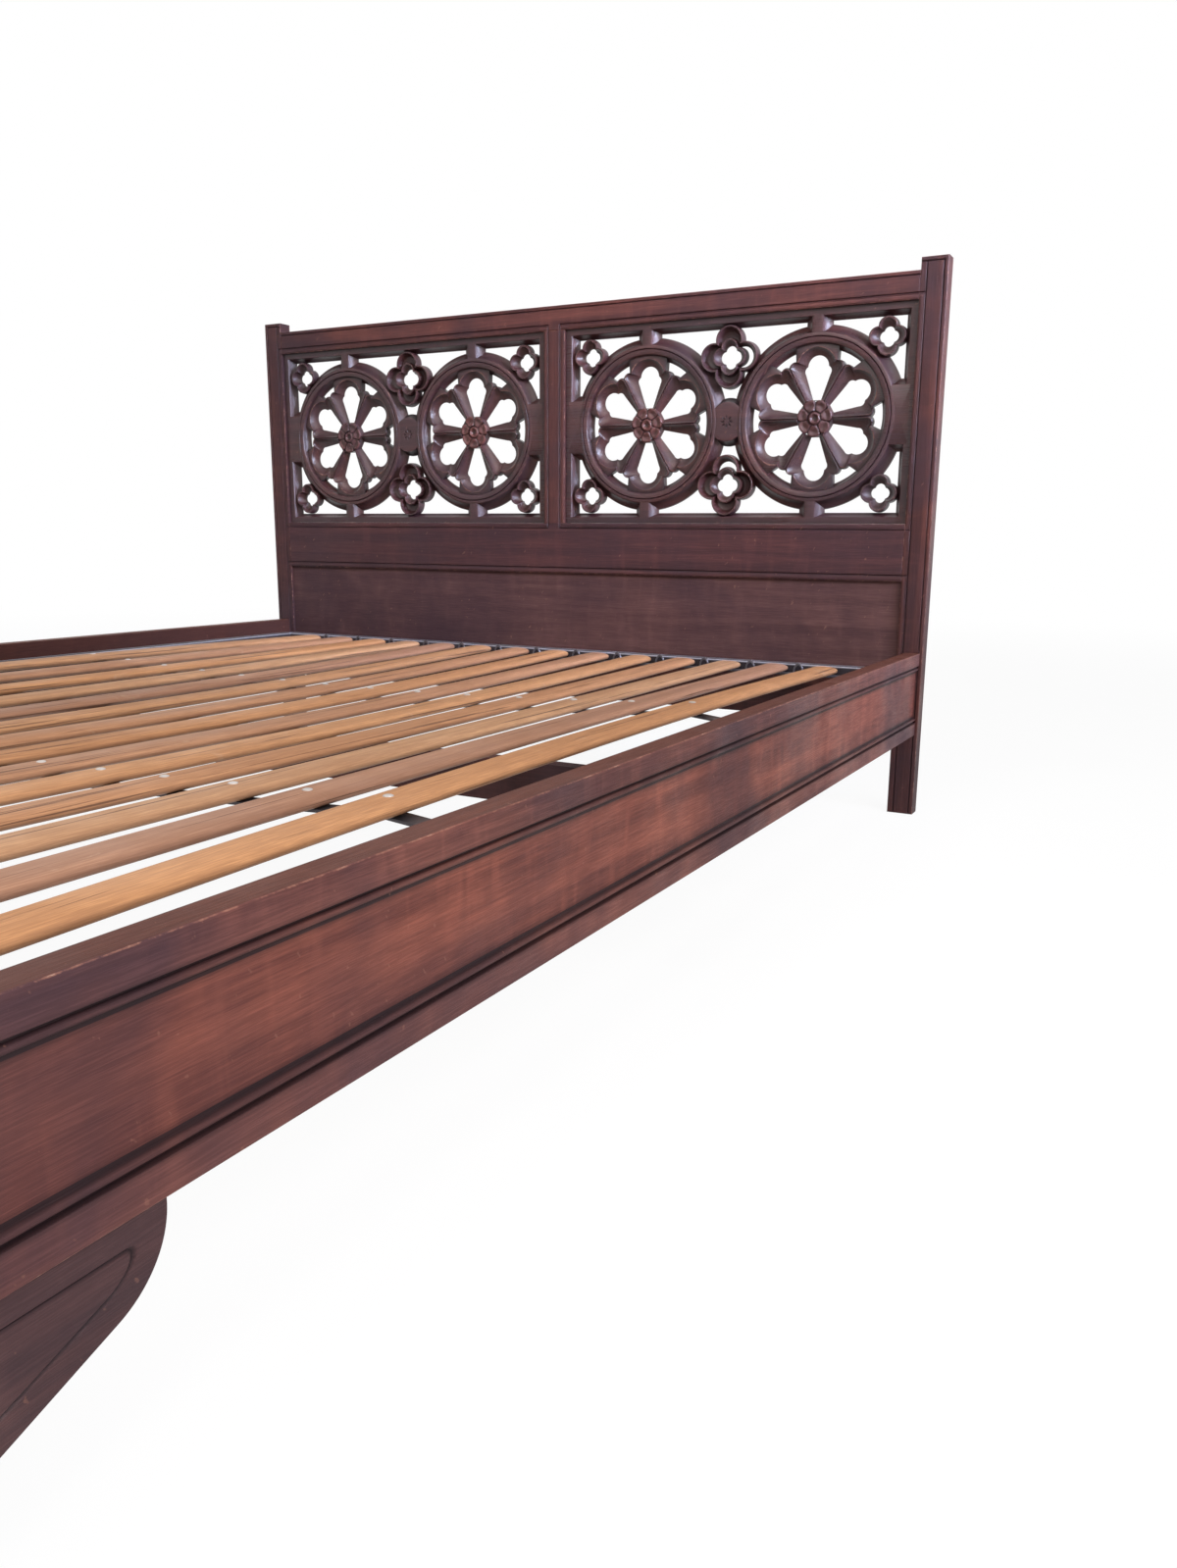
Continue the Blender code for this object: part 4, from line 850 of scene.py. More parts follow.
def bridge(centre):
    """The disc between two roses, with a star of eight notches cut into it: a notch is deepest on
    its middle line, widest halfway along, and ends at half its width aside."""
    angles, radius = once_round(BRIDGE_AROUND)[None, :], BRIDGE_RADII[:, None]
    turn = np.abs((angles * STAR_RAYS / (2 * math.pi) + 0.5) % 1.0 - 0.5) * 2 * math.pi / STAR_RAYS
    along = np.clip((radius - STAR_NEAR) / (STAR_REACH - STAR_NEAR), 0.0, 1.0)
    taper = np.sin(along * math.pi)
    half_width = STAR_HALF_WIDTH * taper + WELD
    cut = STAR_CUT * taper * np.clip(1.0 - (radius * turn / half_width) ** 2, 0.0, 1.0)
    fall = hollow_section((BRIDGE_EDGE, UNDER + SOFT_EDGE), (BRIDGE_RIM, BRIDGE_FALL), 6)
    rim = np.concatenate([fall, [(BRIDGE_RIM, BOARD_DEPTH), (0.0, BOARD_DEPTH)]])
    flat = polar(np.concatenate([radius, rim[:, :1]]), angles) + np.asarray(centre)
    depths = np.concatenate([cut + UNDER, rim[:, 1:] * np.ones((1, BRIDGE_AROUND))])
    points = BOARD_PLACE(flat[..., 0], flat[..., 1], depths)
    flat_wear = np.zeros(len(BRIDGE_RADII) - 1)
    wear = np.concatenate([flat_wear, [0.7, 0.9], np.linspace(0.6, 0.0, 5), [0.0, 0.0]])
    return shell(points, wear, np.clip(1.6 * (depths - UNDER) / STAR_CUT, 0.0, 1.0))


print("a star of", STAR_RAYS, "rays")

# %% [markdown]
# Between and beside the roses stand four-lobed foils. The curve of a foil is four arcs that meet on
# the diagonals, so a row needs only the distance of the four centres and their radius. The large
# foils hold a second, smaller ring whose cusps touch the outer one, and crescents open between.

# %% Foils
LOBES, LOBE_POINTS = 4, 22
LOBE_AT = 0.031
FLOOR_CURVES = ((0.0275, 0.0205), (0.0175, 0.0165))
FLOOR_DEPTHS = (0.0135, 0.0155, 0.0162, 0.0155, BOARD_DEPTH, BOARD_DEPTH)
EYE_DEPTH, RIDGE_EASE = 0.0160, 0.0004


def foil_curve(offset, radius):
    """Four arcs about centres at this offset; an arc ends where it meets the diagonal, at 45
    degrees plus the angle whose sine is offset / (radius times the root of two)."""
    reach = math.pi / 4 + math.asin(min(1.0, offset / (radius * math.sqrt(2))))
    swing = np.linspace(-reach, reach, LOBE_POINTS, endpoint=False)
    lobe = np.array([offset, 0.0]) + polar(radius, swing)
    return np.concatenate([turned_rows(lobe, math.pi / 2 * i) for i in range(LOBES)])


def foil(centre, outer, ridge, eye, front, outer_depth):
    """A ring between two foil curves: a wall up to the outer arris, a thin flat ridge, and a
    hollow down to the eye. Each curve is given as (offset, radius)."""
    foot, outside, inside, opening = [foil_curve(*curve) for curve in (outer, *ridge, eye)]
    hollow, depths = hollow_rows(inside, opening, front + SOFT_EDGE, EYE_DEPTH, 9)
    rows = [[foot, foot, outside, outside + 0.3 * (inside - outside)], hollow, [opening]]
    start = [BOARD_DEPTH, outer_depth, front + RIDGE_EASE, front]
    wear = np.concatenate([[0.0, 0.2, 0.9, 0.6, 0.9], np.linspace(0.4, 0.0, 8), [0.0]])
    dirt = np.concatenate([[0.3, 0.4, 0.0, 0.0, 0.0], np.linspace(0.0, 0.20, 8), [0.4]])
    depths = np.concatenate([start, depths, [BOARD_DEPTH]])
    return carved(np.concatenate(rows), depths, wear, dirt, centre)


def lobe_floor(centre, lobe):
    """The hollow floor of one lobe: a dished band between the outer ring and the inner one, whose
    rows run together in a point at both tips."""
    first = LOBE_POINTS * lobe
    outer, inner = [foil_curve(*curve)[first : first + LOBE_POINTS] for curve in FLOOR_CURVES]
    share = np.array([0.0, 0.35, 0.70, 1.0, 1.0, 0.0])[:, None, None]
    rows = outer + (inner - outer) * share
    depths = by_row(FLOOR_DEPTHS, rows.shape[:2])
    points = BOARD_PLACE(rows[..., 0] + centre[0], rows[..., 1] + centre[1], depths)
    tips = [np.broadcast_to(points[:, i].mean(axis=0), (len(rows), 1, 3)) for i in (0, -1)]
    points = np.concatenate([tips[0], points, tips[1]], axis=1)
    return shell(points, 0.0, [0.1, 0.2, 0.3, 0.3, 0.3, 0.3], True, False)


def large_foil(centre, pierced):
    """The outer foil, the smaller ring inside it, and a floor in every lobe that isn't pierced."""
    outer_ridge = ((LOBE_AT, 0.0270), (LOBE_AT, 0.0243))
    inner_ridge = ((0.0170, 0.0168), (0.0160, 0.0150))
    skins = [foil(centre, (LOBE_AT, 0.0285), outer_ridge, (0.0268, 0.0194), 0.0, 0.010)]
    skins.append(foil(centre, (0.0182, 0.0180), inner_ridge, (0.0098, 0.0118), 0.0030, 0.013))
    return skins + [lobe_floor(centre, lobe) for lobe in range(LOBES) if lobe not in pierced]


def small_foil(centre):
    """One of the four corner foils."""
    ridge = ((0.017, 0.0170), (0.0162, 0.0146))
    return foil(centre, (0.017, 0.0184), ridge, (0.0076, 0.0100), 0.0010, 0.011)


print("a foil curve has", len(foil_curve(LOBE_AT, 0.0285)), "points")

# %% [markdown]
# Last come the straight parts: the border strip with its hollow, the narrow tabs that tie the ring
# to the border, and the wide tabs at the ends. All are closed outlines in rows, one inside the other.
# Blocks with a bevel would be quicker, but a bevel can't run out in the same hollow as the rings.

# %% Border and tabs
BOARD_HALF_WIDTH, BOARD_HALF_HEIGHT = 0.3632, 0.1952
BORDER_SIDE, BORDER_END = 0.0235, 0.0205
TAB_UNDER = 0.0002
TAB_SHARES = np.concatenate([[-0.08], hollow_share(6)[0]])
NARROW_HALF, NARROW_FLARE, NARROW_REACH = 0.0105, 0.0145, 0.019
WIDE_HALF, WIDE_FLARE, WIDE_INNER, WIDE_OUTER = 0.0525, 0.012, 0.151, 0.1790
INNER_POINTS, OUTER_POINTS = 16, 12


def rectangle(half_width, half_height, steps=10):
    """Points round a rectangle, a few on each side."""
    share = np.linspace(-1.0, 1.0, steps, endpoint=False)
    side = np.stack([np.full(steps, 1.0), share], axis=-1)
    sides = np.concatenate([turned_rows(side, math.pi / 2 * i) for i in range(4)])
    return sides * (half_width, half_height)


def border():
    """The strip along the board's edge, flat and then hollow towards the openwork."""
    fall = hollow_section((0.60, UNDER + SOFT_EDGE), (1.0, HOLLOW_DEPTH), 6)
    share = np.concatenate([[0.0, 0.0, 0.50, 0.58], fall[:, 0], [1.0]])
    depth = np.concatenate([[BOARD_DEPTH, UNDER, UNDER, UNDER], fall[:, 1], [BOARD_DEPTH]])
    sizes = [(BOARD_HALF_WIDTH - s * BORDER_SIDE, BOARD_HALF_HEIGHT - s * BORDER_END) for s in share]
    rows = np.stack([rectangle(*size) for size in sizes])
    wear = np.concatenate([[0.0, 0.1, 0.1, 0.4, 0.8], np.linspace(0.4, 0.0, 5), [0.0]])
    dirt = np.concatenate([[0.5, 0.6, 0.1, 0.0, 0.0], np.linspace(0.0, 0.35, 5), [0.4]])
    return carved(rows, depth, wear, dirt)


def tab_rows(outlines, centre):
    """A tie flush with the border: outlines that flare in a hollow from the front to the back."""
    depth = hollow_section((0.0, TAB_UNDER + SOFT_EDGE), (1.0, HOLLOW_DEPTH), 6)[:, 1]
    depths = np.concatenate([[TAB_UNDER, TAB_UNDER], depth, [BOARD_DEPTH, BOARD_DEPTH]])
    middle = np.broadcast_to(outlines[0].mean(axis=0), outlines[0].shape)
    rows = np.stack([middle, *outlines, outlines[-1], middle])
    wear = np.concatenate([[0.0, 0.5, 0.8], np.linspace(0.4, 0.0, 5), [0.0, 0.0]])
    return carved(rows, depths, wear, 0.05, centre, False)


def narrow_tab(centre):
    """The short tie above or below a rose, with a wide sloping stop on both sides."""
    outlines = [rectangle(NARROW_HALF + s * NARROW_FLARE, NARROW_REACH) for s in TAB_SHARES]
    return tab_rows(outlines, centre)


def wide_tab(centre, side):
    """The broad tie between a rose's ring and the border: its inner side follows the ring."""
    outlines = []
    for s in TAB_SHARES:
        half = math.degrees(math.asin((WIDE_HALF + s * WIDE_FLARE) / WIDE_INNER))
        inner = arc((0.0, 0.0), WIDE_INNER, -half, half, INNER_POINTS, True)
        up = np.linspace(inner[-1][1], inner[0][1], OUTER_POINTS)
        outer = np.stack([np.full(OUTER_POINTS, WIDE_OUTER), up], axis=-1)
        outlines.append(np.concatenate([inner, outer]) * (side, 1))
    return tab_rows(outlines, centre)


print("border of", len(border()[1]), "faces")

# %% [markdown]
# Everything meets in one mesh for each board. The skins overlap as solid wood would, and their flat
# backs stand a hair apart, because faces in one plane flicker in a render. A boolean union would
# give one clean skin, but it is slow on so many curved walls and often fails on near touches.

# %% Tracery boards
SIDES = (("left", -1), ("right", 1))
ROSE_ASIDE, LARGE_FOIL_UP, NARROW_TAB_UP = 0.1765, 0.121, 0.167
SMALL_FOIL_AT = (0.308, 0.139)
BOARD_CENTRE_X = (POST_INNER + MUNTIN_HALF) / 2
BOARD_CENTRE_Z = (LEVELS["middle"][1] + LEVELS["top"][0]) / 2
PIERCED = {"left": ((), ()), "right": ((0,), (1,))}
BACK_STEP = 0.00004
CARVED_CREASE = 40.0


def tracery_shells(pierced_above, pierced_below):
    """All skins of one board about its own middle; each large foil says which lobes are pierced."""
    shells = [border(), bridge((0.0, 0.0))]
    for _, side in SIDES:
        centre = (side * ROSE_ASIDE, 0.0)
        shells += [*rose(centre), moulded_ring(centre), hub(centre), wide_tab(centre, side)]
        for up in (-1, 1):
            shells.append(narrow_tab((side * ROSE_ASIDE, up * NARROW_TAB_UP)))
            shells.append(small_foil((side * SMALL_FOIL_AT[0], up * SMALL_FOIL_AT[1])))
    shells += large_foil((0.0, LARGE_FOIL_UP), pierced_above)
    return shells + large_foil((0.0, -LARGE_FOIL_UP), pierced_below)


def settled(skin, number, centre):
    """A skin moved to its board's place. Its flat back stands a hair further forward with its
    number, so that no two backs of one board lie in the same plane."""
    points = skin[0].copy()
    back = HEAD_FRONT + SETBACK + BOARD_DEPTH - number * BACK_STEP
    points[:, 1] = np.minimum(points[:, 1], back)
    return (points + np.asarray(centre), *skin[1:])


for side, sign in SIDES:
    centre = (sign * BOARD_CENTRE_X, 0.0, BOARD_CENTRE_Z)
    skins = tracery_shells(*PIERCED[side])
    skins = [settled(skin, number, centre) for number, skin in enumerate(skins)]
    print(side, "board of", len(skins), "carved skins")
    nodes = [f"{side}_tracery_board"]
    piece(f"{side}_tracery", skins, carving_wood, "bedstead", nodes, CARVED_CREASE)

# %% [markdown]
# A rosette of seven cupped petals covers each hub. It is a polar grid: the outline swells with each
# petal, every petal is hollowed like a spoon, and a ring stands round the dimple in the middle.
# Sculpting would give one rosette. A formula gives four alike, as the carver meant them.

# %% Rosettes
ROSETTE_PETALS, ROSETTE_RADIUS, ROSETTE_TURN, ROSETTE_AROUND = 7, 0.0345, 0.2, 224
BOSS_SHARE, CREST_SHARE, CREST_WIDTH = 0.39, 0.25, 0.095
SPOON_AT, SPOON_LENGTH, SPOON_DEPTH = 0.52, 0.27, 0.70
TIP_FROM, TIP_FALL = 0.82, 0.9
ROSETTE_SHARES = np.concatenate([np.linspace(0.0, BOSS_SHARE, 18), np.linspace(0.41, 1.0, 24)])


def rosette(centre_x, seat, proud):
    """Height over (share of the radius, angle): a petal is a pad with round shoulders and a spoon's
    hollow, narrow valleys part the petals, and the boss is a ring round its dimple."""
    angles, share = once_round(ROSETTE_AROUND)[None, :], ROSETTE_SHARES[:, None]
    petal_turn = (angles - ROSETTE_TURN) * ROSETTE_PETALS / (2 * math.pi)
    aside = np.abs((petal_turn + 0.5) % 1.0 - 0.5) * 2
    pad = np.sqrt(1.0 - 0.98 * aside ** 3)
    out = np.clip((share - BOSS_SHARE) / (1.0 - BOSS_SHARE), 0.0, 1.0)
    spoon = np.exp(-((out - SPOON_AT) / SPOON_LENGTH) ** 2) * (1.0 - aside ** 2)
    tip = np.clip((out - TIP_FROM) / (1.0 - TIP_FROM), 0.0, 1.0)
    tip = np.sqrt(1.0 - TIP_FALL * tip ** 2)
    petals = proud * (0.05 + 0.83 * pad * tip * (1.0 - SPOON_DEPTH * spoon))
    crest = np.exp(-((share - CREST_SHARE) / CREST_WIDTH) ** 2)
    height = np.where(share <= BOSS_SHARE, proud * (0.22 + 0.78 * crest), petals)
    outline = ROSETTE_RADIUS * (0.78 + 0.22 * pad)
    scalloped = np.clip((share - 0.4) / 0.3, 0.0, 1.0)
    radius = share * (ROSETTE_RADIUS + (outline - ROSETTE_RADIUS) * scalloped)
    level = outline * 0.0
    flat = polar(np.concatenate([radius, outline, level]), angles)
    height = np.concatenate([height, level, level])
    points = np.stack([flat[..., 0] + centre_x, seat - height, flat[..., 1] + BOARD_CENTRE_Z], -1)
    # darker in the dimple, the boss's groove and the valleys between petals, and painted shade in the
    # hollow of each petal's spoon
    groove = np.exp(-((share - BOSS_SHARE) / 0.04) ** 2) + np.exp(-((share / 0.13) ** 2))
    valleys_and_cup_shade = np.clip(groove + (share > BOSS_SHARE) * (aside ** 8 + 0.45 * spoon), 0.0, 1.0)
    wear = np.append(0.5 * (share[:, 0] > 0.90), [0.0, 0.0])
    return shell(points, wear, np.concatenate([valleys_and_cup_shade, level, level]))


for side, sign in SIDES:
    for other, way in SIDES:
        node = f"{side}_board_{other}_rosette"
        front, seat = [corner.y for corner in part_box(node)]
        skin = rosette(sign * BOARD_CENTRE_X + way * ROSE_ASIDE, seat, seat - front)
        name = f"{side}_{other}_carved_rosette"
        piece(name, [skin], rosette_wood, "bedstead", [node])

# %% [markdown]
# The rails are plain boards with a moulding planted along both edges: a flat band, a small quirk
# and a bead. Board and moulding are sections, drawn once as a plane would cut them. A bevelled curve
# could carry them too, but rows of points keep the wear, the dirt and the painted shade of every arris.

# %% Sections of the rails
RAIL_LOW, RAIL_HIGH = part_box("right_rail_board")
MOULDING_HEIGHT, MOULDING_PROUD = 0.0365, 0.0054
BEAD_CENTRE, BEAD_RADII = (0.0004, 0.0299), (0.0042, 0.0031)
TOP_EDGE = 0.004


def moulding_section(edge, way):
    """Band, quirk and bead as (proud, height), counted from the moulding's outer edge along the
    way, with the wear, dirt and wash of each point. The dirt paints shade in the quirk and on the
    bead's flanks, and leaves its crown light."""
    angle = np.linspace(-1.45, 1.45, 13)
    bead = np.stack([np.cos(angle), np.sin(angle)], axis=-1) * BEAD_RADII + BEAD_CENTRE
    band = [(0.0, 0.0), (0.0030, 0.0), (0.0046, 0.0004), (0.0052, 0.0011)]
    band += [(MOULDING_PROUD, 0.0026), (MOULDING_PROUD, 0.0200)]
    quirk = [(MOULDING_PROUD, 0.0232), (0.0046, 0.0240), (0.0004, 0.0246)]
    back = [(0.0001, 0.0335), (0.0001, MOULDING_HEIGHT), (-0.001, MOULDING_HEIGHT), (-0.001, 0.0)]
    section = np.concatenate([band, quirk, bead, back])
    crown = np.clip(np.cos(angle), 0.0, 1.0) ** 3
    wear = [0.2, 0.7, 1.0, 0.9, 0.1, 0.1, 0.4, 0.4, 0.0]
    wear = np.concatenate([wear, 0.60 * crown, np.zeros(4)])
    # painted shade: dark in the quirk and on the bead's flanks, lighter on the bead's crown
    dirt = np.concatenate([np.zeros(6), [0.4, 0.8, 1.0], 1.0 - 0.65 * np.sqrt(crown)])
    dirt = np.concatenate([dirt, [1.0, 1.0, 0.0, 0.0]])
    tone = (section[:, 1] < 0.0002) * (way < 0)
    section[:, 1] = edge + way * section[:, 1]
    return section, wear, dirt, tone


def board_section(thickness, low, high):
    """A rail board's section with eased corners; dark stain gathers beside its mouldings and on its
    inner face, and its top and inner faces only got a thin wash."""
    e, t, near, off = EASE, thickness, MOULDING_HEIGHT - 0.001, MOULDING_HEIGHT + 0.005
    points = [(0.0, low + e), (0.0, low + near), (0.0, low + off)]
    points += [(0.0, high - off), (0.0, high - near), (0.0, high - e)]
    points += [(-e, high), (-TOP_EDGE, high), (TOP_EDGE - t, high), (e - t, high)]
    points += [(-t, high - e), (-t, high - TOP_EDGE), (-t, low + e), (e - t, low), (-e, low)]
    wear = [0.0, 0.0, 0.0, 0.0, 0.0, 0.3, 0.3, 0.0, 0.1, 0.8, 0.8, 0.1, 0.1, 0.3, 0.3]
    dirt = [0.0, 0.5, 0.0, 0.0, 0.7, 0.0, 0.0, 0.0, 0.0, 0.2, 0.5, 0.6, 0.6, 0.3, 0.0]
    tone = [0.0] * 6 + [1.0] * 7 + [0.0] * 2
    return np.array(points), wear, dirt, np.array(tone)


print("a moulding section has", len(moulding_section(0.0, 1)[0]), "points")

# %% [markdown]
# Each section is then carried straight along its rail. The side rails' boards stand a few millimetres
# further in than their CAD solids, because their tops are that much wider on the real bed.

# %% Rails
STATIONS, RAIL_CREASE = 25, 28.0
RAIL_THICKNESS, MORE_INWARDS = RAIL_HIGH.x - RAIL_LOW.x, 0.0045


def seen_from_side(side, face):
    """Places a face that looks sideways: across is Y, up is Z, depth goes in along X."""
    return lambda across, up, depth: np.stack(
        np.broadcast_arrays(side * (face - depth), across, up), -1
    )


def swept(section, start, end, place, wear, dirt):
    """A closed section (proud, height) carried straight from start to end; both ends are closed to
    the section's middle."""
    along = np.linspace(start, end, STATIONS)
    rows = np.broadcast_to(section, (STATIONS, *section.shape))
    middle = np.broadcast_to(section.mean(axis=0), (1, *section.shape))
    rows = np.concatenate([middle, rows, middle])
    along = by_row(np.concatenate([along[:1], along, along[-1:]]), rows.shape[:2])
    points = place(along, rows[..., 1], -rows[..., 0])
    every_row = np.ones((STATIONS + 2, 1))
    return shell(points, every_row * wear, every_row * dirt)


def dressed_rail(prefix, start, end, place, wood, band_wood, thickness):
    """A rail's board and its two mouldings."""
    low, high = RAIL_LOW.z, RAIL_HIGH.z
    sections = {"rail": (board_section(thickness, low, high), f"{prefix}_rail_board", wood)}
    for name, edge, way in (("upper", high, -1), ("lower", low, 1)):
        node = f"{prefix}_rail_{name}_moulding"
        sections[f"{name}_band"] = (moulding_section(edge, way), node, band_wood)
    for name, ((section, wear, dirt, tone), node, finish) in sections.items():
        skin = swept(section, start, end, place, wear, dirt)
        tones = np.tile(tone, STATIONS + 2)
        name = f"{prefix}_{name}"
        piece(name, [skin], finish, "bedstead", [node], RAIL_CREASE, tones)


for side, sign in SIDES:
    place = seen_from_side(sign, RAIL_HIGH.x)
    thickness = RAIL_THICKNESS + MORE_INWARDS
    dressed_rail(side, RAIL_LOW.y, RAIL_HIGH.y, place, rail_y, band_y, thickness)
foot_low, foot_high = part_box("foot_rail_upper_moulding")
place = seen_from_foot(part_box("foot_rail_board")[0].y)
dressed_rail("foot", foot_low.x, foot_high.x, place, rail_x, band_x, RAIL_THICKNESS)

# %% [markdown]
# The foot legs are short posts with the same scratched line along their edges, so the board function
# of the headboard makes them too, with a relief of their own.

# %% Foot legs
LEG_LOW, LEG_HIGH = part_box("foot_right_leg")


def leg_relief(x, z):
    """A line beside the outer, inner and top edges of a leg."""
    aside = np.abs(np.abs(x) - (LEG_LOW.x + LEG_HIGH.x) / 2) - (LEG_HIGH.x - LEG_LOW.x) / 2
    return scratched(np.maximum(aside, z - LEG_HIGH.z) + EDGE_LINE)


for side, sign in SIDES:
    left, right = sorted((sign * LEG_LOW.x, sign * LEG_HIGH.x))
    marks = np.concatenate([left + EDGE_LINE + AROUND_LINE, right - EDGE_LINE + AROUND_LINE])
    across = board_lines(left, right, marks)
    up = board_lines(0.0, LEG_HIGH.z, LEG_HIGH.z - EDGE_LINE + AROUND_LINE)
    place = seen_from_foot(LEG_LOW.y)
    skin = carved_board(place, across, up, LEG_HIGH.y - LEG_LOW.y, leg_relief)
    piece(f"{side}_leg", [skin], frame_z, "bedstead", [f"foot_{side}_leg"])

# %% [markdown]
# Under the foot end of each side rail stands a shaped bracket: a round nose, then a slope towards
# the leg, with a line cut a thumb's width inside its outline. Shrinking the outline, by smaller
# radii and moved lines, gives the rows of the face. Scaling it would not keep the line parallel.

# %% Brackets
BRACKET_LOW, BRACKET_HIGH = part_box("right_foot_bracket")
NOSE_RADIUS, NOSE_DROP, SLOPE = 0.060, 0.005, math.radians(20.0)
INCISED, INCISED_HALF, INCISED_DEPTH, CORNER, HAIR = 0.020, 0.0016, 0.0018, 0.011, 1e-5
NOSE_POINTS, BEND_POINTS, LONG_POINTS, END_POINTS = 24, 6, 14, 8
AROUND_INCISED = [INCISED - INCISED_HALF, INCISED, INCISED + INCISED_HALF]
BRACKET_INSETS = np.array([0.0, EASE, 0.006, 0.017, *AROUND_INCISED, 0.026])
BRACKET_DEPTHS = np.array([EASE, 0.0, 0.0, 0.0, 0.0, INCISED_DEPTH, 0.0, 0.0])


def bracket_outline(inset):
    """The bracket's outline moved inwards by this much, as (along, up)."""
    top, length = BRACKET_HIGH.z - inset, BRACKET_HIGH.y
    centre = np.array([length - NOSE_RADIUS, BRACKET_HIGH.z - NOSE_DROP])
    turn = 90.0 - math.degrees(SLOPE)
    radius = NOSE_RADIUS - inset
    rise = math.asin(max(0.0, inset - NOSE_DROP) / radius)
    corner = centre + polar(radius, -rise)
    corner[1] = min(top, corner[1] + HAIR)
    soft = CORNER * min(1.0, inset / INCISED)
    nose = arc(centre, radius, -math.degrees(rise + soft / radius), -turn, NOSE_POINTS, True)
    before = np.array([corner[0] - soft, top])
    share = np.linspace(0.0, 1.0, BEND_POINTS, endpoint=False)[:, None]
    bend = (1 - share) ** 2 * before + 2 * share * (1 - share) * corner + share**2 * nose[0]
    start = BRACKET_LOW.y + inset
    low = nose[-1] + (start - nose[-1][0]) * np.array([1.0, math.tan(SLOPE)])
    upper = [line((start, top), before, LONG_POINTS), bend, nose[:-1]]
    lower = [line(nose[-1], low, LONG_POINTS), line(low, (start, top), END_POINTS)]
    return np.concatenate(upper + lower)


def bracket(sign):
    """Rows from the middle of the face out to the outline, over the edge, and in again behind."""
    rows = [bracket_outline(inset) for inset in BRACKET_INSETS[::-1]]
    middle = np.broadcast_to(rows[0].mean(axis=0), rows[0].shape)
    thickness = BRACKET_HIGH.x - BRACKET_LOW.x
    rows = np.stack([middle, *rows, rows[-1], middle])
    depths = np.concatenate([[0.0], BRACKET_DEPTHS[::-1], [thickness, thickness]])
    depths = by_row(depths, rows.shape[:2])
    points = seen_from_side(sign, BRACKET_HIGH.x)(rows[..., 0], rows[..., 1], depths)
    wear = [0.0, 0.0, 0.3, 0.0, 0.3, 0.0, 0.1, 0.8, 1.0, 0.3, 0.0]
    dirt = [0.0, 0.0, 0.0, 1.0, 0.0, 0.0, 0.0, 0.0, 0.0, 0.0, 0.0]
    return shell(points, wear, dirt)


for side, sign in SIDES:
    nodes = [f"{side}_foot_bracket"]
    piece(f"{side}_bracket", [bracket(sign)], bracket_wood, "bedstead", nodes)

# %% [markdown]
# The slats are oval in section. Those in the middle of the base hang a little, and those at its
# sides bow up. The section is a superellipse, which is fuller than an oval, and its centre line
# follows a cosine along the slat. Both ends are rounded off. A bend modifier could curve a straight
# slat, but the formula is shared with the rivets, which must lie on the slats.

# %% Slats
SLAT_REACH, SLAT_HALF_WIDTH, SLAT_HALF_HEIGHT = 0.633, 0.0265, 0.00775
SLAT_FULLNESS, SLAT_AROUND = 2.3, 28
SLAT_HALF_LENGTH, LEVEL_FROM = 0.9317, 0.908
SLAT_BOTTOM, SLAT_HANG, SLAT_RISE = 0.2678, 0.014, 0.009
SLAT_EVEN, SLAT_STATIONS = 0.88, 41
END_STEPS = np.array([0.0, 0.0, 0.0012, 0.004, 0.024])
END_SIZES = np.array([0.0, 0.82, 0.95, 1.0, 1.0])
SLAT_TONES = (0.3, 0.8, 0.5, 0.2, 0.9, 0.3, 0.75, 0.6, 0.8, 0.35, 0.7, 0.15, 1.0, 0.45)
SLAT_CREASE = 40.0


def sag(x, y):
    """Hang of the slats: a parabola across the base, which hangs in the middle and is bowed up at
    the sides, times a cosine along it, and none past the lips."""
    along = np.cos(math.pi / 2 * np.clip(np.abs(y) / LEVEL_FROM, 0.0, 1.0))
    return (SLAT_HANG - (SLAT_HANG + SLAT_RISE) * (x / SLAT_REACH) ** 2) * along


def slat(x):
    """Superellipse rows along the slat: sine and cosine raised to the power of two over the
    fullness; the last rows at each end shrink to a rounded end."""
    angle = once_round(SLAT_AROUND)
    cos, sin = np.cos(angle), np.sin(angle)
    across = SLAT_HALF_WIDTH * np.sign(cos) * np.abs(cos) ** (2 / SLAT_FULLNESS)
    height = SLAT_HALF_HEIGHT * np.sign(sin) * np.abs(sin) ** (2 / SLAT_FULLNESS)
    end = SLAT_HALF_LENGTH - END_STEPS
    even = np.linspace(-SLAT_EVEN, SLAT_EVEN, SLAT_STATIONS)
    along = np.concatenate([-end, even, end[::-1]])[:, None]
    size = np.concatenate([END_SIZES, np.ones(SLAT_STATIONS), END_SIZES[::-1]])[:, None]
    up = SLAT_BOTTOM + SLAT_HALF_HEIGHT - sag(x, along) + height * size
    points = np.stack([x + across * size, along * np.ones_like(angle), up], axis=-1)
    # painted shade: darker from below the crown down the side to the underside; the rounded ends are
    # darker too
    dirt = np.clip(0.40 - sin, 0.0, 1.0) * 0.65 + (size < 0.9) * 0.3
    return shell(points, 0.0, dirt)


slat_places = SLAT_REACH * np.linspace(-1.0, 1.0, len(SLAT_TONES))
for i, (x, tone) in enumerate(zip(slat_places, SLAT_TONES)):
    node = f"slat_{i + 1:02d}"
    skins = [slat(x)]
    piece(f"{node}_oval", skins, slat_wood, "slatted_base", [node], SLAT_CREASE, tone)

# %% [markdown]
# A round-headed rivet holds every slat to each strap. They are many and small, so a head has only
# a few faces: three rings and a middle. Instances would do too, but one mesh exports as one piece.

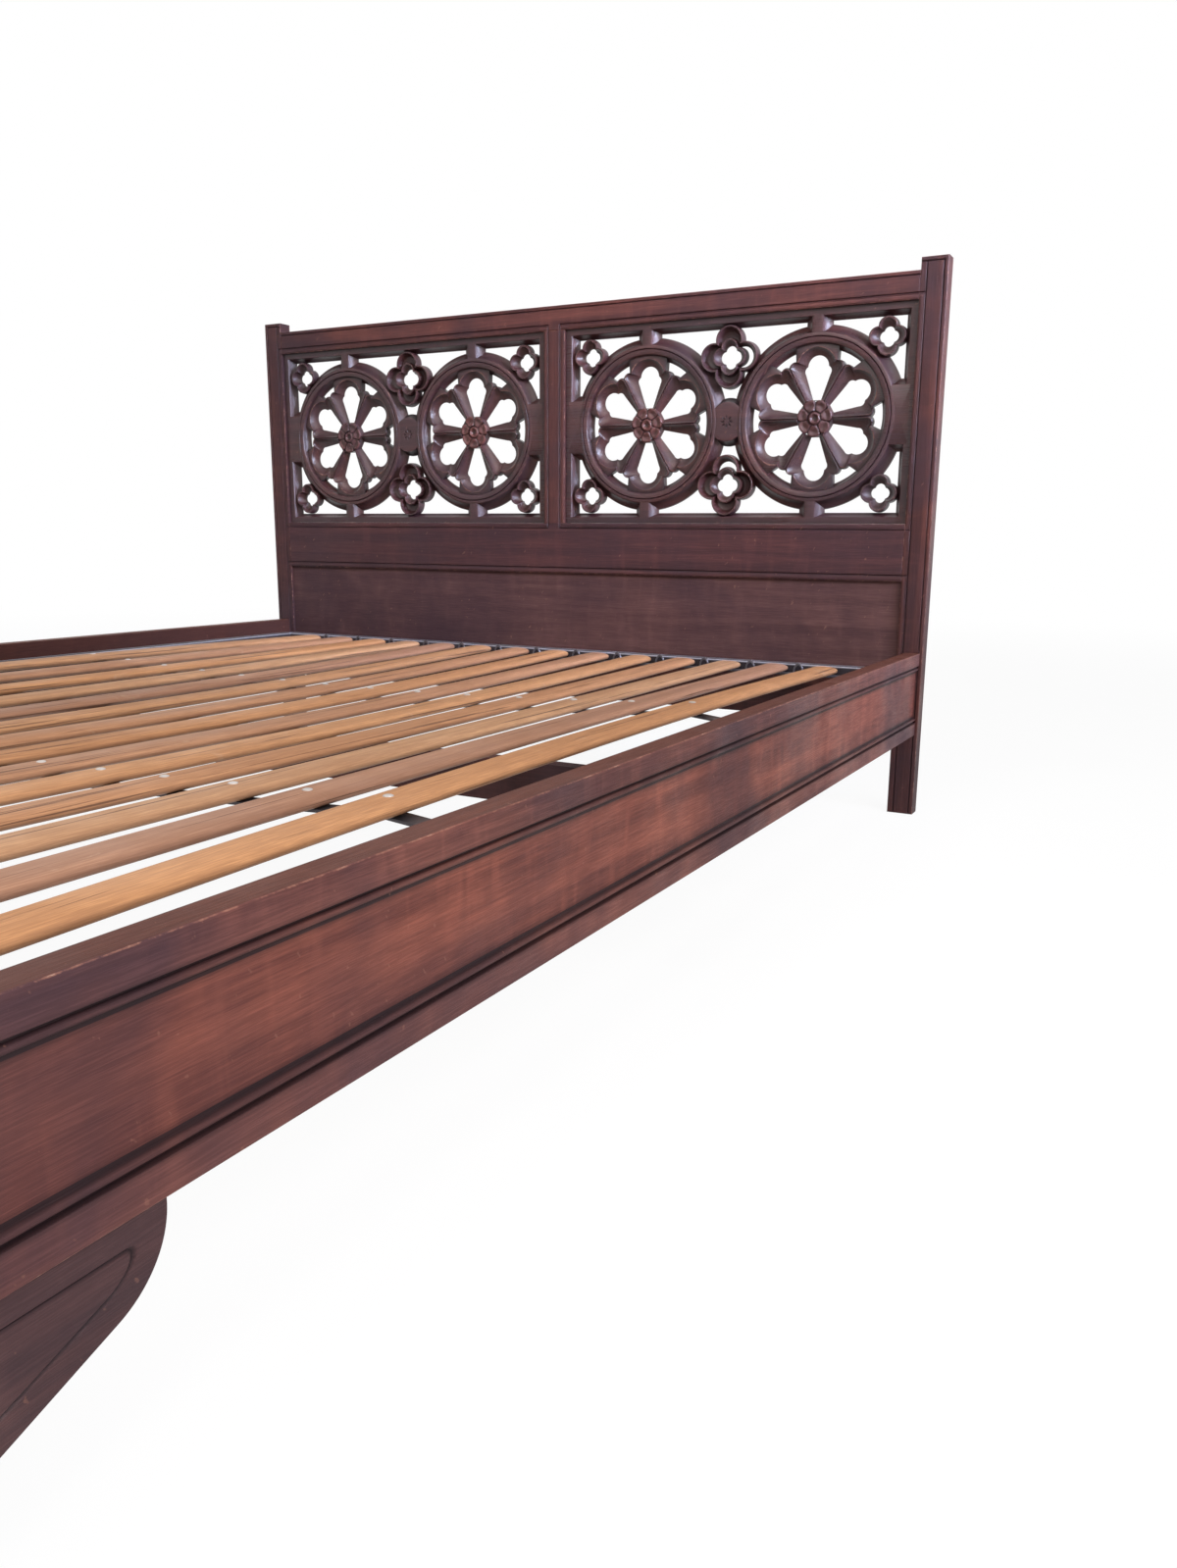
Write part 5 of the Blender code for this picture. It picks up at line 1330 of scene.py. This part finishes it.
# %% Rivets
STRAPS = [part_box(node) for node in ("base_head_strap", "base_foot_strap")]
STRAPS = [(low.y + high.y) / 2 for low, high in STRAPS]
RIVET_RADIUS, RIVET_HEIGHT, RIVET_AROUND = 0.0056, 0.0022, 10
RIVET_SUNK, RIVET_SHANK = 0.0004, 0.002


def rivet(x, y):
    """A low dome: the radius grows with the sine of an angle, the height with its cosine."""
    rise = np.radians([0.0, 35.0, 65.0, 90.0, 90.0])[:, None]
    turn = once_round(RIVET_AROUND)[None, :]
    radius = RIVET_RADIUS * np.sin(rise)
    top = SLAT_BOTTOM + 2 * SLAT_HALF_HEIGHT - float(sag(x, y)) - RIVET_SUNK
    height = RIVET_HEIGHT * np.cos(rise) - np.array([[0.0], [0.0], [0.0], [0.0], [RIVET_SHANK]])
    up = top + height * np.ones_like(turn)
    points = np.stack([x + radius * np.cos(turn), y + radius * np.sin(turn), up], axis=-1)
    closed = np.concatenate([points, points[-1:] * 0.0 + points[-1].mean(axis=0)])
    return shell(closed, 0.5, 0.0)


rivets = [rivet(x, y) for x in slat_places for y in STRAPS]
piece("slat_rivets", rivets, rivet_steel, "slatted_base")

# %% [markdown]
# Small wire hooks hold the slats to the head and foot irons, one in each gap. A hook is a thin
# round wire carried along a half loop, as a bevelled curve would be, but with very few faces.

# %% Wire hooks
WIRE, HOOK_RADIUS, HOOK_STRETCH, HOOK_BACK = 0.0016, 0.0090, 1.9, 0.9225
HOOK_STEPS, WIRE_AROUND = 9, 6


def hook(x, end):
    """A wire circle carried along a half loop that stands on the lip beside the iron."""
    way = np.radians(np.linspace(0.0, 180.0, HOOK_STEPS))[:, None]
    turn = once_round(WIRE_AROUND)[None, :]
    ring = HOOK_RADIUS + WIRE * np.cos(turn)
    across = x + ring * np.cos(way)
    up = SLAT_BOTTOM + ring * np.sin(way) * HOOK_STRETCH
    back = end * (HOOK_BACK + WIRE * np.sin(turn)) * np.ones_like(way)
    points = np.stack([across, back, up], axis=-1)
    first, last = [np.broadcast_to(points[i].mean(axis=0), points[:1].shape) for i in (0, -1)]
    return shell(np.concatenate([first, points, last]), 0.3, 0.0)


gaps = (slat_places[1:] + slat_places[:-1]) / 2
hooks = [hook(x, end) for x in gaps for end in (-1, 1)]
piece("slat_hooks", hooks, dark_iron, "slatted_base")

# %% [markdown]
# The rim of the base is bent steel strip with a flange on top. Its corners are rounded off: each
# point of the section runs round a rectangle whose corners are arcs. The deeper webs at the sides
# and the lips at the ends are flat strips of their own.

# %% Base rim
IRON_LOW, IRON_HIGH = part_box("base_right_iron")
RIM_WIDTH, RIM_LENGTH = IRON_HIGH.x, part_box("base_head_iron")[1].y
RIM_BOTTOM, RIM_TOP = IRON_LOW.z, IRON_HIGH.z
FLANGE, STRIP, LIP, LIP_TOP = 0.028, 0.003, 0.020, 0.2675
RIM_EASE, STRIP_EASE, WEB_DROP = 0.0006, 0.0005, 0.0185
CORNER_RADIUS, LEAST_RADIUS, WEB_SHORT = 0.022, 0.004, 0.004


def rounded_rectangle(half_width, half_length, radius, steps=8):
    """Points round a rectangle with arcs at its corners."""
    corner = arc((0, 0), radius, 0.0, 90.0, steps, True) + (half_width - radius, half_length - radius)
    flips = [(1, 1), (-1, 1), (-1, -1), (1, -1)]
    return np.concatenate([(corner * flip)[:: flip[0] * flip[1]] for flip in flips])


def rim():
    """The flange and web, an angle section (inward, down) carried round the rounded rectangle."""
    f, t, e = FLANGE, STRIP, RIM_EASE
    section = [(0.0, e), (e, 0.0), (0.0050, 0.0), (0.0062, 0.0), (f - 0.0050, 0.0)]
    section += [(f - 0.0038, 0.0), (f - 0.001, 0.0), (f, 0.001), (f, 0.0030), (f, WEB_DROP)]
    section += [(f - t, WEB_DROP), (f - t, t), (e, t), (0.0, t - e)]
    rows, heights = [], []
    for inward, down in section:
        radius = max(CORNER_RADIUS - inward, LEAST_RADIUS)
        rows.append(rounded_rectangle(RIM_WIDTH - inward, RIM_LENGTH - inward, radius))
        heights.append(RIM_TOP - down)
    rows = np.stack(rows)
    heights = by_row(heights, rows.shape[:2])
    points = np.concatenate([rows, heights[..., None]], axis=-1)
    wear = [0.9, 0.9, 0.4, 0.0, 0.0, 0.4, 0.9, 0.9, 0.0, 0.0, 0.0, 0.0, 0.0, 0.4]
    # painted shade: the middle of the flange, the web and its underside are painted dark as the shade
    # under the slat ends
    dirt = [0.0, 0.0, 0.0, 0.9, 0.9, 0.1, 0.0, 0.1, 1.0, 1.0, 0.8, 0.8, 0.5, 0.0]
    return shell(points, wear, dirt, True)


def strip(low, high):
    """A flat steel strip with eased edges: rectangles in rows from the bottom to the top."""
    low, high = np.asarray(low, float), np.asarray(high, float)
    half, middle = (high - low)[:2] / 2, (high + low)[:2] / 2
    e = STRIP_EASE
    sizes = [half * 0.0, half - e, half, half, half - e, half * 0.0]
    rows = np.stack([rectangle(*size, 2) + middle for size in sizes])
    levels = [low[2], low[2], low[2] + e, high[2] - e, high[2], high[2]]
    levels = by_row(levels, rows.shape[:2])
    points = np.concatenate([rows, levels[..., None]], axis=-1)
    # painted shade: the webs and lips under the slats are painted dark all over
    return shell(points, [0.0, 0.6, 0.8, 0.8, 0.6, 0.0], 0.85)


rim_skins = [rim()]
inner_x, inner_y = RIM_WIDTH - FLANGE, RIM_LENGTH - FLANGE
web_end = inner_y - WEB_SHORT
for sign in (-1, 1):
    left, right = sorted((sign * inner_x, sign * (inner_x + STRIP)))
    rim_skins.append(strip((left, -web_end, RIM_BOTTOM), (right, web_end, LIP_TOP)))
    near, far = sorted((sign * (inner_y + STRIP), sign * (inner_y - LIP)))
    rim_skins.append(strip((-inner_x, near, LIP_TOP - STRIP), (inner_x, far, LIP_TOP)))
irons = [f"base_{name}_iron" for name in ("left", "right", "head", "foot")]
piece("base_rim", rim_skins, grey_steel, "slatted_base", irons)

# %% [markdown]
# The rest keeps its CAD shape and only gets a finish: the lower panel, the cleats, the bearer with
# its blocks, the straps and the bed irons. Their solids are flat boards and plates already, so a
# new surface would show nothing more.

# %% Finishes for the CAD nodes that stay
STAYING = {"head_lower_panel": panel_wood, "centre_bearer": frame_x}
for side, _ in SIDES:
    STAYING[f"{side}_bearer_block"] = rail_y
for end in ("head", "foot"):
    STAYING[f"{end}_cleat"] = frame_x
    STAYING[f"base_{end}_strap"] = dark_iron
    for side, _ in SIDES:
        STAYING[f"{end}_{side}_hook_plate"] = dark_iron
        STAYING[f"{end}_{side}_slot_plate"] = dark_iron
for node, finish in STAYING.items():
    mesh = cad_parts[node].data
    mesh.materials.clear()
    mesh.materials.append(finish)
print(len(STAYING), "nodes keep their shape")

# %% [markdown]
# The stage is a pale floor that runs far back. It is part matt and part glowing, so it stays near
# white and still keeps the bed's shadow. Far from the bed only the glow is left, and the floor's
# edge runs into the white world without a line. A curved backdrop would need more room.

# %% Floor
GLOW_SHARE, FADE_FROM, FADE_TO = 0.92, 2.5, 7.0
FLOOR_REACH, FLOOR_LEVEL = 40.0, -0.0005
WHITE = (1.0, 1.0, 1.0, 1.0)


def seen_straight(tree):
    """1 for rays from the camera, from polished faces and through glass, 0 for all others."""
    seen = add(tree, "ShaderNodeLightPath").outputs
    straight = maths(tree, "MAXIMUM", seen["Is Camera Ray"], seen["Is Glossy Ray"])
    return maths(tree, "MAXIMUM", straight, seen["Is Transmission Ray"])


def pale_floor():
    """Matt near-white paint with a faint mottle, mixed with a white glow that grows with distance."""
    material, tree, place = empty_material("pale floor")
    mottle = stretch(tree, noise(tree, place, 3.0), 0.3, 0.7, 0.0, 1.0)
    colour = blend(tree, mottle, (0.90, 0.90, 0.90, 1.0), (0.94, 0.94, 0.94, 1.0))
    matt = add(tree, "ShaderNodeBsdfDiffuse", {"Color": colour, "Roughness": 0.6})
    glow = add(tree, "ShaderNodeEmission", {"Color": WHITE, "Strength": 1.0})
    far = add(tree, "ShaderNodeVectorMath", {0: place}, operation="LENGTH").outputs["Value"]
    share = stretch(tree, far, FADE_FROM, FADE_TO, GLOW_SHARE, 1.0)
    share = maths(tree, "MULTIPLY", seen_straight(tree), share)
    mixed = add(tree, "ShaderNodeMixShader", {0: share, 1: matt.outputs[0], 2: glow.outputs[0]})
    add(tree, "ShaderNodeOutputMaterial", {"Surface": mixed.outputs[0]})
    return material


corners = FLOOR_REACH * np.array([(-1, -1), (1, -1), (1, 1), (-1, 1)])
corners = np.column_stack([corners, np.full(4, FLOOR_LEVEL)])
floor_mesh = bpy.data.meshes.new("floor")
floor_mesh.from_pydata(corners.tolist(), [], [(0, 1, 2, 3)])
floor_mesh.materials.append(pale_floor())
floor = bpy.data.objects.new("floor", floor_mesh)
bpy.context.scene.collection.objects.link(floor)
print("floor of", 2 * FLOOR_REACH, "m")

# %% [markdown]
# The world is white to the camera, to reflections and through glass, and much weaker as a lamp, so
# that a white surround does not wash out the dark wood.

# %% World
WORLD_LAMP = {"Color": (0.96, 0.97, 1.0, 1.0), "Strength": 0.27}

world = bpy.data.worlds.new("white studio")
world.use_nodes = True
bpy.context.scene.world = world
tree = world.node_tree
tree.nodes.clear()
lamp = add(tree, "ShaderNodeBackground", WORLD_LAMP).outputs[0]
white = add(tree, "ShaderNodeBackground", {"Color": WHITE, "Strength": 1.0}).outputs[0]
mixed = add(tree, "ShaderNodeMixShader", {0: seen_straight(tree), 1: lamp, 2: white})
add(tree, "ShaderNodeOutputWorld", {"Surface": mixed.outputs[0]})
print(world.name, "as a lamp of", WORLD_LAMP["Strength"])

# %% [markdown]
# Light: a large soft lamp on the right, another one overhead, and a narrow cool one that only looks
# along the headboard and puts the violet sheen on its carving. One large lamp alone would leave the
# openwork flat, because its hollows show by the light that grazes them.

# %% Lamps
LAMPS = {
    "cool lamp along the headboard": {
        "place": (3.1, 0.2, 1.6), "aim": (0.2, 1.0, 0.82), "size": 0.8, "power": 12.0,
        "colour": (0.63, 0.72, 1.0), "spread": 32.0,
    },
    "soft lamp on the right": {
        "place": (3.2, -1.0, 2.0), "aim": (0.3, 0.2, 0.3), "size": 2.0, "power": 74.0,
        "colour": (0.98, 0.96, 1.0),
    },
    "soft lamp overhead": {
        "place": (0.7, -1.8, 3.1), "aim": (0.3, -0.2, 0.2), "size": 2.6, "power": 80.0,
        "colour": (1.0, 0.97, 0.93),
    },
}


def soft_lamp(name, place, aim, size, power, colour, spread=180.0):
    """A square area lamp at a place, turned to look at the aim: its own Z points straight back from
    there and its X lies level. A small spread narrows its beam."""
    lamp = bpy.data.lights.new(name, "AREA")
    lamp.size = size
    lamp.energy = power
    lamp.color = colour
    lamp.spread = math.radians(spread)
    back = np.asarray(place, float) - np.asarray(aim, float)
    back /= np.linalg.norm(back)
    right = np.cross((0.0, 0.0, 1.0), back)
    right /= np.linalg.norm(right)
    turn = np.eye(4)
    turn[:3] = np.stack([right, np.cross(back, right), back, place], axis=1)
    obj = bpy.data.objects.new(name, lamp)
    obj.matrix_world = Matrix(turn.tolist())
    bpy.context.scene.collection.objects.link(obj)
    print(name, power, "W")


for name, settings in LAMPS.items():
    soft_lamp(name, **settings)

# %% [markdown]
# The camera stands low beside the foot of the bed and looks along it to the headboard. Dragging it
# into place by eye would do for a sketch. Here its place and turn were solved from straight edges of
# the bed in the photograph, so that every board lines up. The turn is in degrees about X, Y and Z.

# %% Camera
CAMERA_PLACE, CAMERA_TURN = (1.29003, -1.21439, 0.52805), (77.7573, -0.3998, 28.5963)
camera_data = bpy.data.cameras.new("camera")
camera_data.sensor_width = 36.0
camera_data.lens = 26.608
camera = bpy.data.objects.new("camera", camera_data)
turn = Euler([math.radians(angle) for angle in CAMERA_TURN])
camera.matrix_world = Matrix.LocRotScale(Vector(CAMERA_PLACE), turn, None)
bpy.context.scene.collection.objects.link(camera)
bpy.context.scene.camera = camera
bpy.context.scene.view_settings.view_transform = "Standard"
print("camera with a lens of", round(camera_data.lens, 1), "mm")
